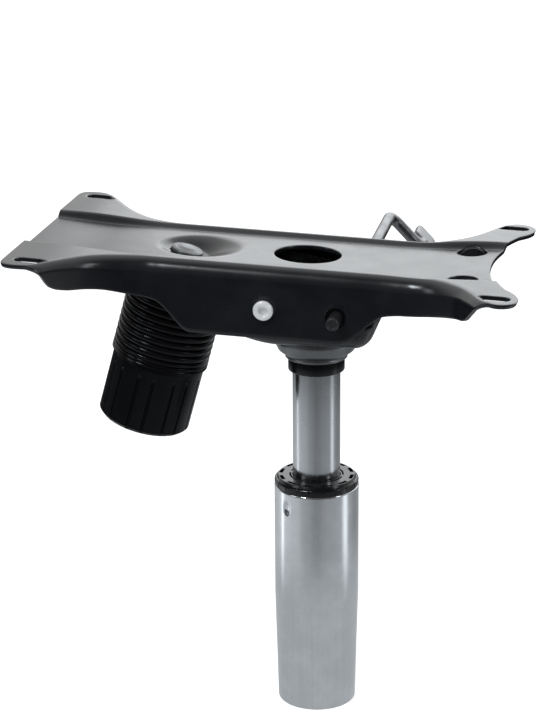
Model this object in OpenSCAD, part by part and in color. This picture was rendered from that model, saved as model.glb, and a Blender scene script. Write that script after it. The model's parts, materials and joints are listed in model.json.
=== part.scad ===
// Frame of an office chair: a pressed seat plate hinged on a pressed housing, a
// leaning tension bolt with its spring under a ribbed boot and a grip knob, a
// cranked release lever, a tilt lock pin, and a gas lift sliding in its column.
// +Z runs up the lift, +X points to the rear of the seat, +Y to the lever side.
// The origin lies on the lift axis at the lower face of the column.
// The gas lift is drawn fully extended, with the seat untilted and unlocked.

/* [Seat plate] */
// Length from the middle of the front edge to the tips of the rear ears
plate_l = 282; // [276:1:290]
// Share of the plate's length that lies ahead of the lift axis
front_share = 0.574468; // [0.56:0.002:0.59]
// Half width of the ears, up to their rolled edge
ear_half_w = 86; // [82:1:92]
// Half width of the flat between the two skirts
web_half_w = 36.5; // [35:0.5:40]
// Thickness of the sheet
plate_t = 2.5; // [2:0.1:2.8]
// Depth of the side skirts below the top of the plate
skirt_h = 40.5; // [38.5:0.5:46]
// Outer radius between the plate's top and its skirts
shoulder_r = 8; // [7:0.5:9]
// Depth of the whole trough floor below the ears
floor_sink = 3; // [2:0.5:4]
// Further depth of the trough floor in its middle
floor_dip = 2; // [1:0.5:3]
// Depth of the rails beside the trough below the ears
rail_dip = 2.7; // [2:0.1:3.5]
// Rearward lean of the plate, the factory seat angle, in degrees
seat_lean = 2.34; // [0:0.01:2.5]
// Height of the ears above the column's rim with the lift fully up
ear_rise = 144.6; // [142:0.1:155]

/* [Seat mounting] */
// Length of the seat bolt slots
slot_l = 18; // [14:0.5:20]
// Width of the seat bolt slots
slot_w = 8; // [6.5:0.5:8.5]
// Distance of the front slots' middles behind the front edge
slot_front = 15.2; // [14:0.1:17]
// Distance of the rear slots' middles ahead of the rear tips
slot_rear = 12.8; // [12:0.1:15]
// Distance of the slots' middles inside the sides of the ears
slot_edge = 10.5; // [9:0.1:12]
// Diameter of the service hole over the lift
service_d = 38.4; // [34:0.1:42]
// Diameter of the two holes near the rear ears
rear_hole_d = 17; // [12:0.5:19]

/* [Tilt hinge and lock] */
// Distance of the tilt hinge ahead of the lift axis
pivot_ahead = 22.6; // [21:0.1:24]
// Depth of the tilt hinge below the ears
pivot_drop = 25.9; // [24:0.1:28]
// Diameter of the hinge bolt's shank
axle_d = 8; // [7:0.5:9]
// Diameter of the hinge bolt's head
axle_head_d = 11.4; // [11:0.2:14]
// Full tilt of the seat, in degrees
tilt_max = 12; // [8:1:12]
// Diameter of the lock pin
pin_d = 7.5; // [6:0.1:8]
// Travel of the lock pin
pin_stroke = 8; // [6:0.5:9]
// How far the lock pin still stands out of the skirt when it is in
pin_stub = 4.5; // [3:0.5:7]

/* [Housing] */
// Depth of the housing's floor below the ears
floor_drop = 50.2; // [49:0.1:52]
// Sheet thickness of the housing
housing_t = 3; // [2.5:0.1:3.4]
// Gap between the housing's sides and the skirts
side_gap = 4.5; // [3.5:0.1:5.5]
// Distance of the housing's rear wall behind the lift axis
housing_rear = 39.5; // [38:0.5:42]
// Radius of the housing's long lower edges
housing_r = 8; // [6:0.5:10]

/* [Tension unit] */
// Distance of the tension bolt ahead of the lift axis, at its head
bolt_ahead = 76.2; // [75:0.1:77.5]
// Depth of the tension bolt's reference point below the ears
bolt_drop = 8; // [7:0.1:8.5]
// Lean of the tension bolt, in degrees
bolt_lean = 15.6; // [14.5:0.1:16.5]
// Diameter of the tension bolt
bolt_d = 12; // [10:0.5:12]
// Diameter of the tension bolt's head
bolt_head_d = 18.6; // [17:0.2:19.5]
// Distance of the boot's top below the bolt's reference point
boot_drop = 23.4; // [22.5:0.1:24.5]
// Length of the ribbed boot
boot_l = 41; // [38:0.5:44]
// Outer diameter of the boot's ribs
boot_d = 57.4; // [56:0.2:58.5]
// Diameter of the grip knob
knob_d = 54.4; // [53.6:0.2:56]
// Height of the grip knob
knob_h = 41; // [40:0.5:44]
// Wire diameter of the tension spring
wire_d = 5.4; // [4:0.1:5.6]
// Outer diameter of the tension spring
spring_d = 44; // [38:0.5:45]

/* [Release lever] */
// Distance of the lever's rod behind the lift axis
lever_back = 18; // [17:0.1:19.5]
// Depth of the lever's rod below the ears
lever_drop = 28.9; // [28:0.1:30]
// Diameter of the lever's rod
lever_d = 7.5; // [6:0.1:7.8]
// Reach of the rod to its bend, from the lift axis
lever_reach = 195; // [150:1:220]
// Length of the crank between the two bends
crank_l = 29; // [24:0.5:34]
// Dip of the crank below level, in degrees
crank_dip = 46.6; // [30:0.1:60]
// Width of the flattened tongue at the lever's end
tongue_w = 16; // [12:0.5:20]
// Thickness of the tongue
tongue_t = 4; // [3:0.2:5]
// Length of the tongue
tongue_l = 20; // [16:0.5:26]

/* [Gas lift] */
// Height of the column to its rim
column_h = 138; // [130:1:240]
// Diameter of the column
column_d = 50; // [49.5:0.1:51]
// Wall of the column
column_wall = 2; // [1.5:0.1:2.4]
// Height of the tapered seat at the column's foot
taper_h = 70; // [60:1:80]
// Diameter of the gas cylinder
tube_d = 28; // [27:0.1:28.4]
// Length of the guide bushing inside the column
bushing_l = 55; // [50:1:60]
// Height of the bushing's collar above the column's rim
bushing_rise = 5.7; // [4:0.1:7]
// Diameter of the piston rod
rod_d = 10; // [8:0.5:11]
// Depth of the top of the gas cylinder below the ears
tube_top_drop = 39; // [38.6:0.1:40]

/* [Hidden] */
$fn = 48;

// Overrun of cuts past the faces that they open
over = 1;
// Gap between pieces that turn or slide in each other, on the radius
fit = 0.08;
// Gap between pieces that lie against each other on different bodies
seat_gap = 0.1;
// Gap between a moving piece and what it only passes
free_gap = 0.6;
// Gap before the lock pin's inner end, and under the heads of loose bolts
end_gap = 0.5;

// Frames that the pieces are placed in
ear_z = column_h + ear_rise;
plate_front = plate_l * front_share;
plate_rear = plate_l - plate_front;
skirt_y = web_half_w + shoulder_r;
skirt_in_y = skirt_y - plate_t;
housing_y = skirt_in_y - side_gap;
pivot = [-pivot_ahead, -pivot_drop];
lever = [lever_back, -lever_drop];
// A place beside the lift axis as the tilted plate sees it
function on_plate(p) = [
    p.x * cos(seat_lean) - p.y * sin(seat_lean),
    p.x * sin(seat_lean) + p.y * cos(seat_lean)
];
pivot_p = on_plate(pivot);
lever_p = on_plate(lever);

module ears() {
    translate([0, 0, ear_z]) children();
}
module tilted() {
    ears() rotate([0, seat_lean, 0]) children();
}
// The bolt's own frame, with Z up along the bolt
module bolt_frame() {
    ears() translate([-bolt_ahead, 0, -bolt_drop]) rotate([0, bolt_lean, 0]) children();
}
// A round bar along Y from y0 to y1, at the place p beside the lift axis
module bar_y(p, d, y0, y1, fn = 48) {
    translate([p.x, y0, p.y]) rotate([-90, 0, 0]) cylinder(h = y1 - y0, d = d, $fn = fn);
}
// An outline in X and Z drawn out along Y from y0 to y1
module across(y0, y1) {
    translate([0, y1, 0]) rotate([90, 0, 0]) linear_extrude(y1 - y0) children();
}
// A flat ring around Z from z0 to z1
module ring(d_in, d_out, z0, z1) {
    translate([0, 0, z0]) difference() {
        cylinder(h = z1 - z0, d = d_out);
        translate([0, 0, -over]) cylinder(h = z1 - z0 + 2 * over, d = d_in);
    }
}

// Seat plate: a sheet drawn over a table of stations from front to rear. Each row
// holds the station on the centre line and at the edge as shares of plate_l, then
// how far the edge stands between web and ear, the depth of the rolled edge as a
// share of skirt_h, and its radius as a share of shoulder_r.
plate_shares = [
    [0.004, 0.000, 0.68, 0.004, 0.62], [0.016, 0.003, 0.86, 0.004, 0.62],
    [0.028, 0.016, 0.96, 0.004, 0.62], [0.043, 0.035, 1.00, 0.004, 0.62],
    [0.057, 0.053, 0.96, 0.010, 0.62], [0.069, 0.069, 0.88, 0.14, 0.62],
    [0.083, 0.083, 0.76, 0.34, 0.62], [0.106, 0.105, 0.57, 0.42, 0.69],
    [0.135, 0.132, 0.36, 0.44, 0.81], [0.167, 0.165, 0.19, 0.46, 0.94],
    [0.206, 0.204, 0.075, 0.50, 1], [0.248, 0.248, 0.01, 0.54, 1],
    [0.277, 0.277, 0, 0.58, 1], [0.298, 0.298, 0, 0.68, 1],
    [0.319, 0.319, 0, 0.84, 1], [0.340, 0.340, 0, 0.975, 1],
    [0.362, 0.362, 0, 1, 1], [0.450, 0.450, 0, 1, 1],
    [0.540, 0.540, 0, 1, 1], [0.624, 0.624, 0, 1, 1],
    [0.660, 0.660, 0, 0.97, 1], [0.684, 0.684, 0, 0.85, 1],
    [0.706, 0.706, 0, 0.69, 1], [0.730, 0.730, 0, 0.56, 1],
    [0.762, 0.762, 0.01, 0.51, 1], [0.794, 0.796, 0.03, 0.50, 1],
    [0.826, 0.832, 0.09, 0.49, 1], [0.855, 0.865, 0.22, 0.46, 0.94],
    [0.879, 0.897, 0.43, 0.41, 0.81], [0.895, 0.918, 0.64, 0.36, 0.75],
    [0.906, 0.931, 0.79, 0.20, 0.69], [0.913, 0.945, 0.91, 0.010, 0.62],
    [0.918, 0.966, 0.98, 0.004, 0.62], [0.926, 0.991, 0.93, 0.004, 0.62],
    [0.929, 1.000, 0.78, 0.004, 0.62]
];
// Where the trough's floor and its rails dip in and come out again, along plate_l
floor_fade_shares = [-0.035, 0.142, 0.823, 0.972];
rail_fade_shares = [0.043, 0.248, 0.752, 0.950];
// Foot and head of the step between the floor and its rails, across the web
step_shares = [0.85, 1.014];
// Places of the sheet's columns across the web, in shares of its half width
column_shares = [0, 0.35, 0.65, 0.85, 0.905, 0.96, 1.0];
// How far from the centre line the front and rear edges start to curve
brow_share = 0.66;
brow_y = brow_share * web_half_w;
// Part of the narrowest web that the sheet's columns keep to
column_keep_share = 0.99;
edge_cells = 3;
arc_cells = 3;
// Least drop of the rolled edge, at the ears
least_roll_h = 0.15;
plate_rows = 48;
// Part of a row that the edge's direction is measured over
probe_share = 0.125;
plate_cols = len(column_shares) + edge_cells + arc_cells;

last_row = len(plate_shares) - 1;
stations = [for (s = plate_shares) [
    s[0] * plate_l - plate_front,
    s[1] * plate_l - plate_front,
    web_half_w + s[2] * (ear_half_w - web_half_w),
    s[3] * skirt_h,
    s[4] * shoulder_r
]];
function smooth(a, b, x) = let (t = min(1, max(0, (x - a) / (b - a)))) t * t * (3 - 2 * t);
function station(i) =
    i < 0 ? 2 * stations[0] - stations[1]
    : i > last_row ? 2 * stations[last_row] - stations[last_row - 1]
    : stations[i];
function through(a, b, c, d, f) =
    (2 * b + (c - a) * f + (2 * a - 5 * b + 4 * c - d) * f * f + (3 * b - a - 3 * c + d) * f * f * f) / 2;
function edge_at(u) =
    let (t = u * last_row, i = min(floor(t), last_row - 1))
    through(station(i - 1), station(i), station(i + 1), station(i + 2), t - i);
function edge_normal(u) =
    let (e = probe_share / plate_rows, d = edge_at(min(1, u + e)) - edge_at(max(0, u - e)))
    [-d[2], d[1]] / norm([d[1], d[2]]);
function fade(s, x) =
    smooth(s[0] * plate_l - plate_front, s[1] * plate_l - plate_front, x)
    * (1 - smooth(s[2] * plate_l - plate_front, s[3] * plate_l - plate_front, x));
// Height of the plate's top below the ears
function relief(x, y) =
    let (
        low = -floor_sink - floor_dip * fade(floor_fade_shares, x),
        rail = -rail_dip * fade(rail_fade_shares, x)
    )
    low + (rail - low) * smooth(step_shares[0] * web_half_w, step_shares[1] * web_half_w, abs(y));
// Distance across the sheet of column k inside the edge, at a half width w
function column_y(k, w) =
    let (
        n = len(column_shares) - 1,
        inner = column_shares[min(k, n)] * min(web_half_w, w * column_keep_share)
    )
    k <= n ? inner : inner + (w - inner) * (k - n) / edge_cells;
// A point of the top, for a row share u and a column k on the +Y half
function top_half(u, k) =
    let (
        s = edge_at(u),
        inside = len(column_shares) - 1 + edge_cells,
        y = column_y(k, s[2]),
        x = s[0] + (s[1] - s[0]) * smooth(brow_y, s[2], y),
        n = edge_normal(u),
        r = s[4],
        drop = max(least_roll_h, s[3]),
        turn = drop < r ? acos(1 - drop / r) : 90,
        bend = r * turn * PI / 180,
        wall = max(0, drop - r),
        step = (bend - max(0, bend / (arc_cells + 1) - wall)) / arc_cells,
        way = k - inside > arc_cells ? bend + wall : step * (k - inside),
        a = min(turn, way / r * 180 / PI),
        out = r * sin(a),
        down = r * (1 - cos(a)) + max(0, way - bend)
    )
    k <= inside ? [x, y, relief(x, y)]
    : [s[1] + n.x * out, s[2] + n.y * out, relief(s[1], s[2]) - down];
function mirror_y(p, side) = [p.x, side * p.y, p.z];
function top_point(i, j) =
    mirror_y(top_half(i / plate_rows, abs(j)), j < 0 ? -1 : 1);
function top_normal(i, j) =
    let (
        a = top_point(min(plate_rows, i + 1), j) - top_point(max(0, i - 1), j),
        b = top_point(i, min(plate_cols, j + 1)) - top_point(i, max(-plate_cols, j - 1)),
        c = cross(a, b)
    ) c / norm(c);

module plate_sheet() {
    tops = [for (i = [0:plate_rows]) for (j = [-plate_cols:plate_cols]) top_point(i, j)];
    bottoms = [
        for (i = [0:plate_rows]) for (j = [-plate_cols:plate_cols])
            top_point(i, j) - plate_t * top_normal(i, j)
    ];
    w = 2 * plate_cols + 1;
    m = len(tops);
    rim = concat(
        [for (j = [0:w - 2]) j],
        [for (i = [0:plate_rows - 1]) i * w + w - 1],
        [for (j = [w - 1:-1:1]) plate_rows * w + j],
        [for (i = [plate_rows:-1:1]) i * w]
    );
    n = len(rim);
    quads = [
        for (i = [0:plate_rows - 1]) for (j = [0:w - 2])
            [i * w + j, i * w + j + 1, (i + 1) * w + j + 1, (i + 1) * w + j]
    ];
    polyhedron(
        points = concat(tops, bottoms),
        faces = concat(
            [for (q = quads) [q[0], q[1], q[2]]],
            [for (q = quads) [q[0], q[2], q[3]]],
            [for (q = quads) [q[2] + m, q[1] + m, q[0] + m]],
            [for (q = quads) [q[3] + m, q[2] + m, q[0] + m]],
            [for (k = [0:n - 1]) [rim[(k + 1) % n], rim[k], rim[k] + m]],
            [for (k = [0:n - 1]) [rim[(k + 1) % n], rim[k] + m, rim[(k + 1) % n] + m]]
        )
    );
}
// Slanted cup in the trough that the tension bolt's head sits in
cup_seat = 1.5;
cup_r = 13;
cup_wall_h = 14;
cup_flare = 1.15;
cup_side_share = 1.3;
module cup_cone(r, z0, z1) {
    translate([0, 0, z0]) cylinder(h = z1 - z0, r1 = r, r2 = r + (z1 - z0) * cup_flare);
}
module cup_outside() {
    side = plate_t * (cup_side_share - cup_flare);
    bolt_frame() cup_cone(cup_r + side, cup_seat - plate_t, cup_seat + cup_wall_h);
}
module cup_inside() {
    bolt_frame() cup_cone(cup_r, cup_seat, cup_seat + cup_wall_h + 2 * over);
}
module below_floor() {
    tilted() translate([-plate_front, -web_half_w * step_shares[0], -skirt_h - floor_sink - floor_dip])
        cube([plate_l, 2 * web_half_w * step_shares[0], skirt_h]);
}
// Sideways room that the bolt's hole gives while the seat tilts
bolt_rock = 3;
module slot_z(l, w, h) {
    for (s = [-1, 1]) translate([s * (l - w) / 2, 0, -h]) cylinder(h = 2 * h, d = w);
    translate([-(l - w) / 2, -w / 2, -h]) cube([l - w, w, 2 * h]);
}
bush_d = 12;
bush_flange_d = 18;
guide_d = 11.4;
guide_flange_d = 16;
// Offset of the service hole from the lift axis
service_ahead = 4.7;
// Distances of the rear holes ahead of the rear tips and inside the web's edge
rear_hole_rear = 33.2;
rear_hole_edge = 7;
lever_slot_w = lever_d + 2 * free_gap;
lever_arm = norm(lever_p - pivot_p);
lever_arm_dip = atan2(pivot_p.y - lever_p.y, lever_p.x - pivot_p.x);
function swept(a) = pivot_p + lever_arm * [cos(a - lever_arm_dip), sin(a - lever_arm_dip)];
module lever_slot() {
    a = swept(0);
    b = swept(tilt_max);
    y0 = skirt_in_y - over - plate_t;
    y1 = skirt_y + over;
    bar_y(a, lever_slot_w, y0, y1);
    bar_y(b, lever_slot_w, y0, y1);
    across(y0, y1) translate(a) rotate(atan2(b.y - a.y, b.x - a.x))
        translate([0, -lever_slot_w / 2]) square([norm(b - a), lever_slot_w]);
}
module seat_plate() {
    reach = skirt_y + over;
    color("#202327") difference() {
        union() {
            tilted() plate_sheet();
            intersection() {
                cup_outside();
                below_floor();
            }
        }
        cup_inside();
        bolt_frame() translate([-bolt_rock / 2, 0, 0])
            slot_z(bolt_d + 2 * free_gap + bolt_rock, bolt_d + 2 * free_gap, bolt_head_d);
        tilted() {
            translate([-service_ahead, 0, -skirt_h]) cylinder(h = 2 * skirt_h, d = service_d);
            for (s = [-1, 1]) {
                translate([plate_rear - rear_hole_rear, s * (web_half_w - rear_hole_edge), -skirt_h])
                    cylinder(h = 2 * skirt_h, d = rear_hole_d);
                for (x = [slot_front - plate_front, plate_rear - slot_rear])
                    translate([x, s * (ear_half_w - slot_edge), 0]) slot_z(slot_l, slot_w, skirt_h);
            }
            bar_y(pivot_p, bush_d + 2 * fit, -reach, reach);
            bar_y(lever_p, guide_d + 2 * fit, -reach, -skirt_in_y + plate_t);
            lever_slot();
        }
    }
}
module pivot_bushes() {
    color("#17181a") ears() for (s = [-1, 1]) mirror([0, s < 0 ? 1 : 0, 0]) difference() {
        union() {
            bar_y(pivot, bush_flange_d, housing_y + 2 * seat_gap, skirt_in_y - seat_gap);
            bar_y(pivot, bush_d, housing_y + 2 * seat_gap, skirt_y);
        }
        bar_y(pivot, axle_d + 2 * fit, housing_y - over, skirt_y + over);
    }
}
// Set-back of the lock guide's face inside the skirt
guide_inset = 1.4;
module lock_guide() {
    color("#101113") ears() difference() {
        union() {
            bar_y(lever, guide_flange_d, -skirt_in_y + seat_gap, -housing_y - seat_gap);
            bar_y(lever, guide_d, -skirt_y + guide_inset, -housing_y - seat_gap);
        }
        bar_y(lever, pin_d + 2 * fit, -skirt_y - over, -housing_y + over);
    }
}
pin_chamfer = 0.8;
pin_out = pin_stroke + pin_stub;
module lock_pin() {
    l = pin_out + skirt_y - housing_y - end_gap;
    color("#1b1d20") ears() translate([lever.x, -skirt_y - pin_out, lever.y]) rotate([-90, 0, 0]) {
        cylinder(h = pin_chamfer, d1 = pin_d - 2 * pin_chamfer, d2 = pin_d);
        translate([0, 0, pin_chamfer]) cylinder(h = l - 2 * pin_chamfer, d = pin_d);
        translate([0, 0, l - pin_chamfer])
            cylinder(h = pin_chamfer, d1 = pin_d, d2 = pin_d - 2 * pin_chamfer);
    }
}

// Housing: the overlap of its side, end and top outlines, hollowed by the same
// overlap set in by the sheet's thickness
nose_rim = 0.8;
nose_half_w = boot_d / 2 + nose_rim;
nose_x = -bolt_ahead - boot_drop * sin(bolt_lean);
nose_wall_drop = 13;
rear_wall_drop = 24.5;
rear_corner_r = 9;
rear_rake = 15;
waist_back = 22;
// Start and end of the slope from the boot's seating plane down to the floor
ramp_ahead = 52;
ramp_end_ahead = 14;
outline_steps = 6;
// Depth of the boot's seating plane below the ears, at a place along X
function seat_plane(x, lower) =
    -bolt_drop - (boot_drop + lower + (x + bolt_ahead) * sin(bolt_lean)) / cos(bolt_lean);
module side_outline(g) {
    front = nose_x - nose_half_w - over;
    low = -floor_drop + g;
    head = seat_plane(-ramp_ahead, -g);
    ramp = [for (k = [0:outline_steps]) let (
        t = k / outline_steps,
        x = -ramp_ahead + (ramp_ahead - ramp_end_ahead) * t,
        z = head + (low - head) * (1 - (1 - t) * (1 - t))
    ) [x, z]];
    rear = housing_rear - g;
    r = rear_corner_r - g;
    lip = -rear_wall_drop - rear_corner_r;
    foot = rear - (floor_drop - rear_wall_drop - rear_corner_r - g - r) * tan(rear_rake) - r;
    polygon(concat(
        [[front, seat_plane(front, -g)]],
        ramp,
        [
            for (k = [0:outline_steps]) let (a = -90 + k * (90 - rear_rake) / outline_steps)
                [foot + r * cos(a), low + r + r * sin(a)]
        ],
        [[rear, lip]],
        [[rear, -rear_wall_drop], [-pivot_ahead, -nose_wall_drop], [front, -nose_wall_drop]]
    ));
}
module end_outline(g) {
    w = housing_y - g;
    r = housing_r - g;
    translate([-w, -floor_drop + g + r]) square([2 * w, floor_drop]);
    translate([-w + r, -floor_drop + g]) square([2 * (w - r), floor_drop]);
    for (s = [-1, 1]) translate([s * (w - r), -floor_drop + g + r]) circle(r = r);
}
plan_r = 7;
module top_outline(g) {
    w = housing_y - g;
    n = nose_half_w - g;
    r = plan_r - g;
    back = housing_rear - g;
    waist = nose_x + waist_back;
    translate([nose_x, 0]) circle(r = n);
    polygon([
        [nose_x, -n], [waist, -w], [back - r, -w], [back - r, w], [waist, w], [nose_x, n]
    ]);
    translate([back - 2 * r, -w + r]) square([2 * r, 2 * (w - r)]);
    for (s = [-1, 1]) translate([back - r, s * (w - r)]) circle(r = r);
}
module housing_shape(g, up) {
    far = bolt_ahead + nose_half_w + housing_rear;
    ears() intersection() {
        across(-housing_y, housing_y) side_outline(g);
        translate([-far, 0, up]) rotate([90, 0, 90]) linear_extrude(2 * far) end_outline(g);
        translate([0, 0, -2 * floor_drop]) linear_extrude(2 * floor_drop) top_outline(g);
    }
}
module housing_void() {
    housing_shape(housing_t, 0);
    translate([0, 0, housing_t + over]) housing_shape(housing_t, 0);
    translate([0, 0, nose_wall_drop]) housing_shape(housing_t, 0);
}
hub_neck_d = 36;
hub_fit = 0.05;
tooling_hole_d = 6;
tooling_back = 34.6;
tooling_drop = 34;
bush_hole_d = 11.2;
module lower_housing() {
    color("#34373b") difference() {
        housing_shape(0, 0);
        housing_void();
        bolt_frame() translate([0, 0, -boot_drop - over])
            cylinder(h = housing_t + 2 * over, d = bolt_d + 2 * free_gap);
        ears() {
            translate([0, 0, -floor_drop - over])
                cylinder(h = housing_t + 2 * over, d = hub_neck_d + 2 * fit);
            bar_y(pivot, axle_d + 2 * hub_fit, -housing_y - over, housing_y + over);
            bar_y(lever, bush_hole_d + 2 * fit, 0, housing_y + over);
            bar_y(lever, pin_d + 2 * fit, -housing_y - over, -housing_y + housing_t + over);
            bar_y([tooling_back, -tooling_drop], tooling_hole_d, -housing_y - over, housing_y + over);
        }
    }
}
// Hub: the steel socket under the housing's floor that the gas cylinder wedges into
hub_lip_drop = 65.8;
hub_lip_h = 1.9;
hub_lip_d = 35.8;
hub_top_drop = 41;
hub_flare_d = 50;
hub_taper_share = 0.02;
tube_taper_drop = 66;
tube_top_d = tube_d - (tube_taper_drop - tube_top_drop) * 2 * hub_taper_share;
function taper_d(drop) = tube_top_d + (drop - tube_top_drop) * 2 * hub_taper_share;
module taper_hub() {
    flare_shares = [[1, 0], [0.90, 0.24], [0.48, 0.66], [0.18, 0.92], [0.04, 1]];
    span = hub_lip_drop - hub_lip_h - floor_drop;
    flare = (hub_flare_d - hub_lip_d) / 2;
    color("#4a4e53") ears() rotate_extrude($fn = 96) polygon(concat(
        [[taper_d(hub_top_drop) / 2 + hub_fit, -hub_top_drop], [hub_neck_d / 2, -hub_top_drop]],
        [[hub_neck_d / 2, -floor_drop]],
        [for (s = flare_shares) [hub_lip_d / 2 + flare * s[0], -floor_drop - span * s[1]]],
        [[hub_lip_d / 2, -hub_lip_drop], [taper_d(hub_lip_drop) / 2 + hub_fit, -hub_lip_drop]]
    ));
}
hub_ring_d = 32.6;
hub_ring_h = 8.2;
module hub_ring() {
    color("#141517") ears()
        ring(tube_d + 2 * fit, hub_ring_d, -hub_lip_drop - hub_ring_h, -hub_lip_drop);
}
axle_head_h = 3;
axle_socket_d = 5.6;
nut_af_share = 1.7;
nut_h_share = 0.7;
module pivot_axle() {
    out = skirt_y + 3 * seat_gap;
    tip = out + axle_d * nut_h_share + 2 * over;
    color("#d5d8da") ears() difference() {
        union() {
            bar_y(pivot, axle_d, -out, tip);
            translate([pivot.x, -out, pivot.y]) rotate([90, 0, 0]) {
                cylinder(h = axle_head_h / 2, d = axle_head_d);
                translate([0, 0, axle_head_h / 2])
                    cylinder(h = axle_head_h / 2, d1 = axle_head_d, d2 = axle_head_d - axle_head_h);
            }
        }
        translate([pivot.x, -out - axle_head_h - over, pivot.y]) rotate([-90, 0, 0])
            cylinder(h = axle_head_h + over, d = axle_socket_d, $fn = 6);
    }
}
module pivot_nut() {
    y0 = skirt_y + 3 * seat_gap;
    color("#c4c8cb") ears() difference() {
        bar_y(pivot, axle_d * nut_af_share / cos(30), y0, y0 + axle_d * nut_h_share, 6);
        bar_y(pivot, axle_d + 2 * hub_fit, y0 - over, y0 + axle_d);
    }
}
bush_lip_d = 15;
bush_lip_t = 3;
module lever_bush() {
    inner = housing_y - housing_t;
    color("#17181a") ears() difference() {
        union() {
            bar_y(lever, bush_hole_d, inner - bush_lip_t, housing_y);
            bar_y(lever, bush_lip_d, inner - bush_lip_t, inner);
        }
        bar_y(lever, lever_d + 2 * fit, inner - bush_lip_t - over, housing_y + over);
    }
}
// Release bracket: a cheek for the lever's inner end, on a foot on the floor
bracket_t = 2;
bracket_y = 22;
bracket_half_w = 8;
bracket_foot = 7;
module release_bracket() {
    base = -floor_drop + housing_t;
    color("#5b5f64") ears() {
        across(-bracket_y - bracket_t, -bracket_y) difference() {
            union() {
                translate(lever) circle(r = bracket_half_w);
                translate([lever.x - bracket_half_w, base]) square([2 * bracket_half_w, lever.y - base]);
            }
            translate(lever) circle(d = lever_d + 2 * fit);
        }
        across(-bracket_y - bracket_foot, -bracket_y - bracket_t)
            translate([lever.x - bracket_half_w, base]) square([2 * bracket_half_w, bracket_t]);
    }
}

// Tension unit, every piece in the bolt's own frame
spring_seat_t = 2;
spring_seat_rim = 1.5;
module spring_seat() {
    top = -boot_drop;
    color("#8d9297") bolt_frame() {
        ring(bolt_d + 2 * free_gap, spring_d + 2 * spring_seat_rim + 2 * free_gap, top - spring_seat_t, top);
        ring(spring_d + 2 * free_gap, spring_d + 2 * spring_seat_rim + 2 * free_gap,
            top - 2 * spring_seat_t, top - spring_seat_t);
    }
}
rib_pitch = 4.2;
rib_depth = 1.6;
boot_wall = 1.1;
cuff_h = 4.9;
ribs = round((boot_l - cuff_h) / rib_pitch);
rib_step = (boot_l - cuff_h - seat_gap) / ribs;
// Profile of one rib from its crest to its groove, as shares of depth and pitch
rib_shares = [[0.55, 0.06], [0.12, 0.2], [0, 0.45], [0.15, 0.74], [0.7, 0.93], [1, 0.99]];
function boot_side(r) = [
    for (k = [0:ribs - 1]) for (s = rib_shares) [r - s[0] * rib_depth, -(k + s[1]) * rib_step]
];
module boot() {
    r = boot_d / 2;
    bore = r - rib_depth - boot_wall;
    outer = boot_side(r);
    inner = boot_side(r - boot_wall);
    cuff = -boot_l + cuff_h - seat_gap;
    foot = -boot_l + seat_gap;
    top = -seat_gap;
    color("#0d0e0f") bolt_frame() translate([0, 0, -boot_drop]) rotate_extrude($fn = 96) polygon(concat(
        [[r - rib_depth, top]],
        outer,
        [[r, cuff], [r, foot], [bore, foot], [bore, cuff]],
        [for (k = [len(inner) - 1:-1:0]) inner[k]],
        [[bore, top]]
    ));
}
knob_wall = 3;
dish_h = 2;
bolt_head_edge = 2;
bolt_head_dome = 1.9;
// Climb of the knob along the bolt from its slackest setting to its firmest
knob_climb = 7;
bolt_tail = boot_drop + boot_l + knob_h - knob_wall - dish_h - knob_climb - end_gap;
module tension_bolt() {
    r = bolt_head_d / 2;
    dome_r = (r * r + bolt_head_dome * bolt_head_dome) / (2 * bolt_head_dome);
    base = cup_seat + seat_gap;
    color("#c9cccf") bolt_frame() {
        translate([0, 0, -bolt_tail]) cylinder(h = bolt_tail + base + bolt_head_edge / 2, d = bolt_d);
        translate([0, 0, base]) cylinder(h = bolt_head_edge, d = bolt_head_d);
        intersection() {
            translate([0, 0, base + bolt_head_edge]) cylinder(h = 2 * bolt_head_dome, d = bolt_head_d);
            translate([0, 0, base + bolt_head_edge + bolt_head_dome - dome_r]) sphere(r = dome_r, $fn = 96);
        }
    }
}
nut_h = 10;
nut_af = 19;
knob_deck = 84.2;
washer_t = 2;
knob_top = boot_drop + boot_l + seat_gap;
spring_turns = 5.5;
closed_share = 1.1;
spring_rings = 8;
spring_sides = 6;
// Coil whose first and last turns close up, as a share of the free pitch
module tension_spring() {
    top = -boot_drop - spring_seat_t - wire_d / 2 - seat_gap;
    foot = -knob_deck + washer_t + wire_d / 2 + seat_gap;
    mid_r = (spring_d - wire_d) / 2;
    closed = wire_d * closed_share;
    n = spring_turns * spring_rings;
    function height(t) =
        t < 1 ? closed * t
        : t > spring_turns - 1 ? top - foot - closed * (spring_turns - t)
        : closed + (top - foot - 2 * closed) * (t - 1) / (spring_turns - 2);
    function coil(k, s) =
        let (
            t = k / spring_rings,
            turn = 360 * t,
            a = 360 * s / spring_sides,
            r = mid_r + wire_d / 2 * cos(a)
        ) [r * cos(turn), r * sin(turn), foot + height(t) + wire_d / 2 * sin(a)];
    points = [for (k = [0:n]) for (s = [0:spring_sides - 1]) coil(k, s)];
    function id(k, s) = k * spring_sides + s % spring_sides;
    color("#6b7075") bolt_frame() polyhedron(
        points = points,
        faces = concat(
            [for (k = [0:n - 1]) for (s = [0:spring_sides - 1]) [id(k, s), id(k, s + 1), id(k + 1, s + 1)]],
            [for (k = [0:n - 1]) for (s = [0:spring_sides - 1]) [id(k, s), id(k + 1, s + 1), id(k + 1, s)]],
            [[for (s = [spring_sides - 1:-1:0]) id(0, s)]],
            [[for (s = [0:spring_sides - 1]) id(n, s)]]
        )
    );
}
module spring_washer() {
    rim_d = knob_d - 2 * knob_wall - 2 * free_gap;
    color("#a7acb0") bolt_frame()
        ring(bolt_d + 2 * fit, rim_d, -knob_deck + seat_gap, -knob_deck + washer_t);
}
groove_pairs = 8;
groove_spread = 19;
groove_w = 1.7;
groove_depth = 1.1;
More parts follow.
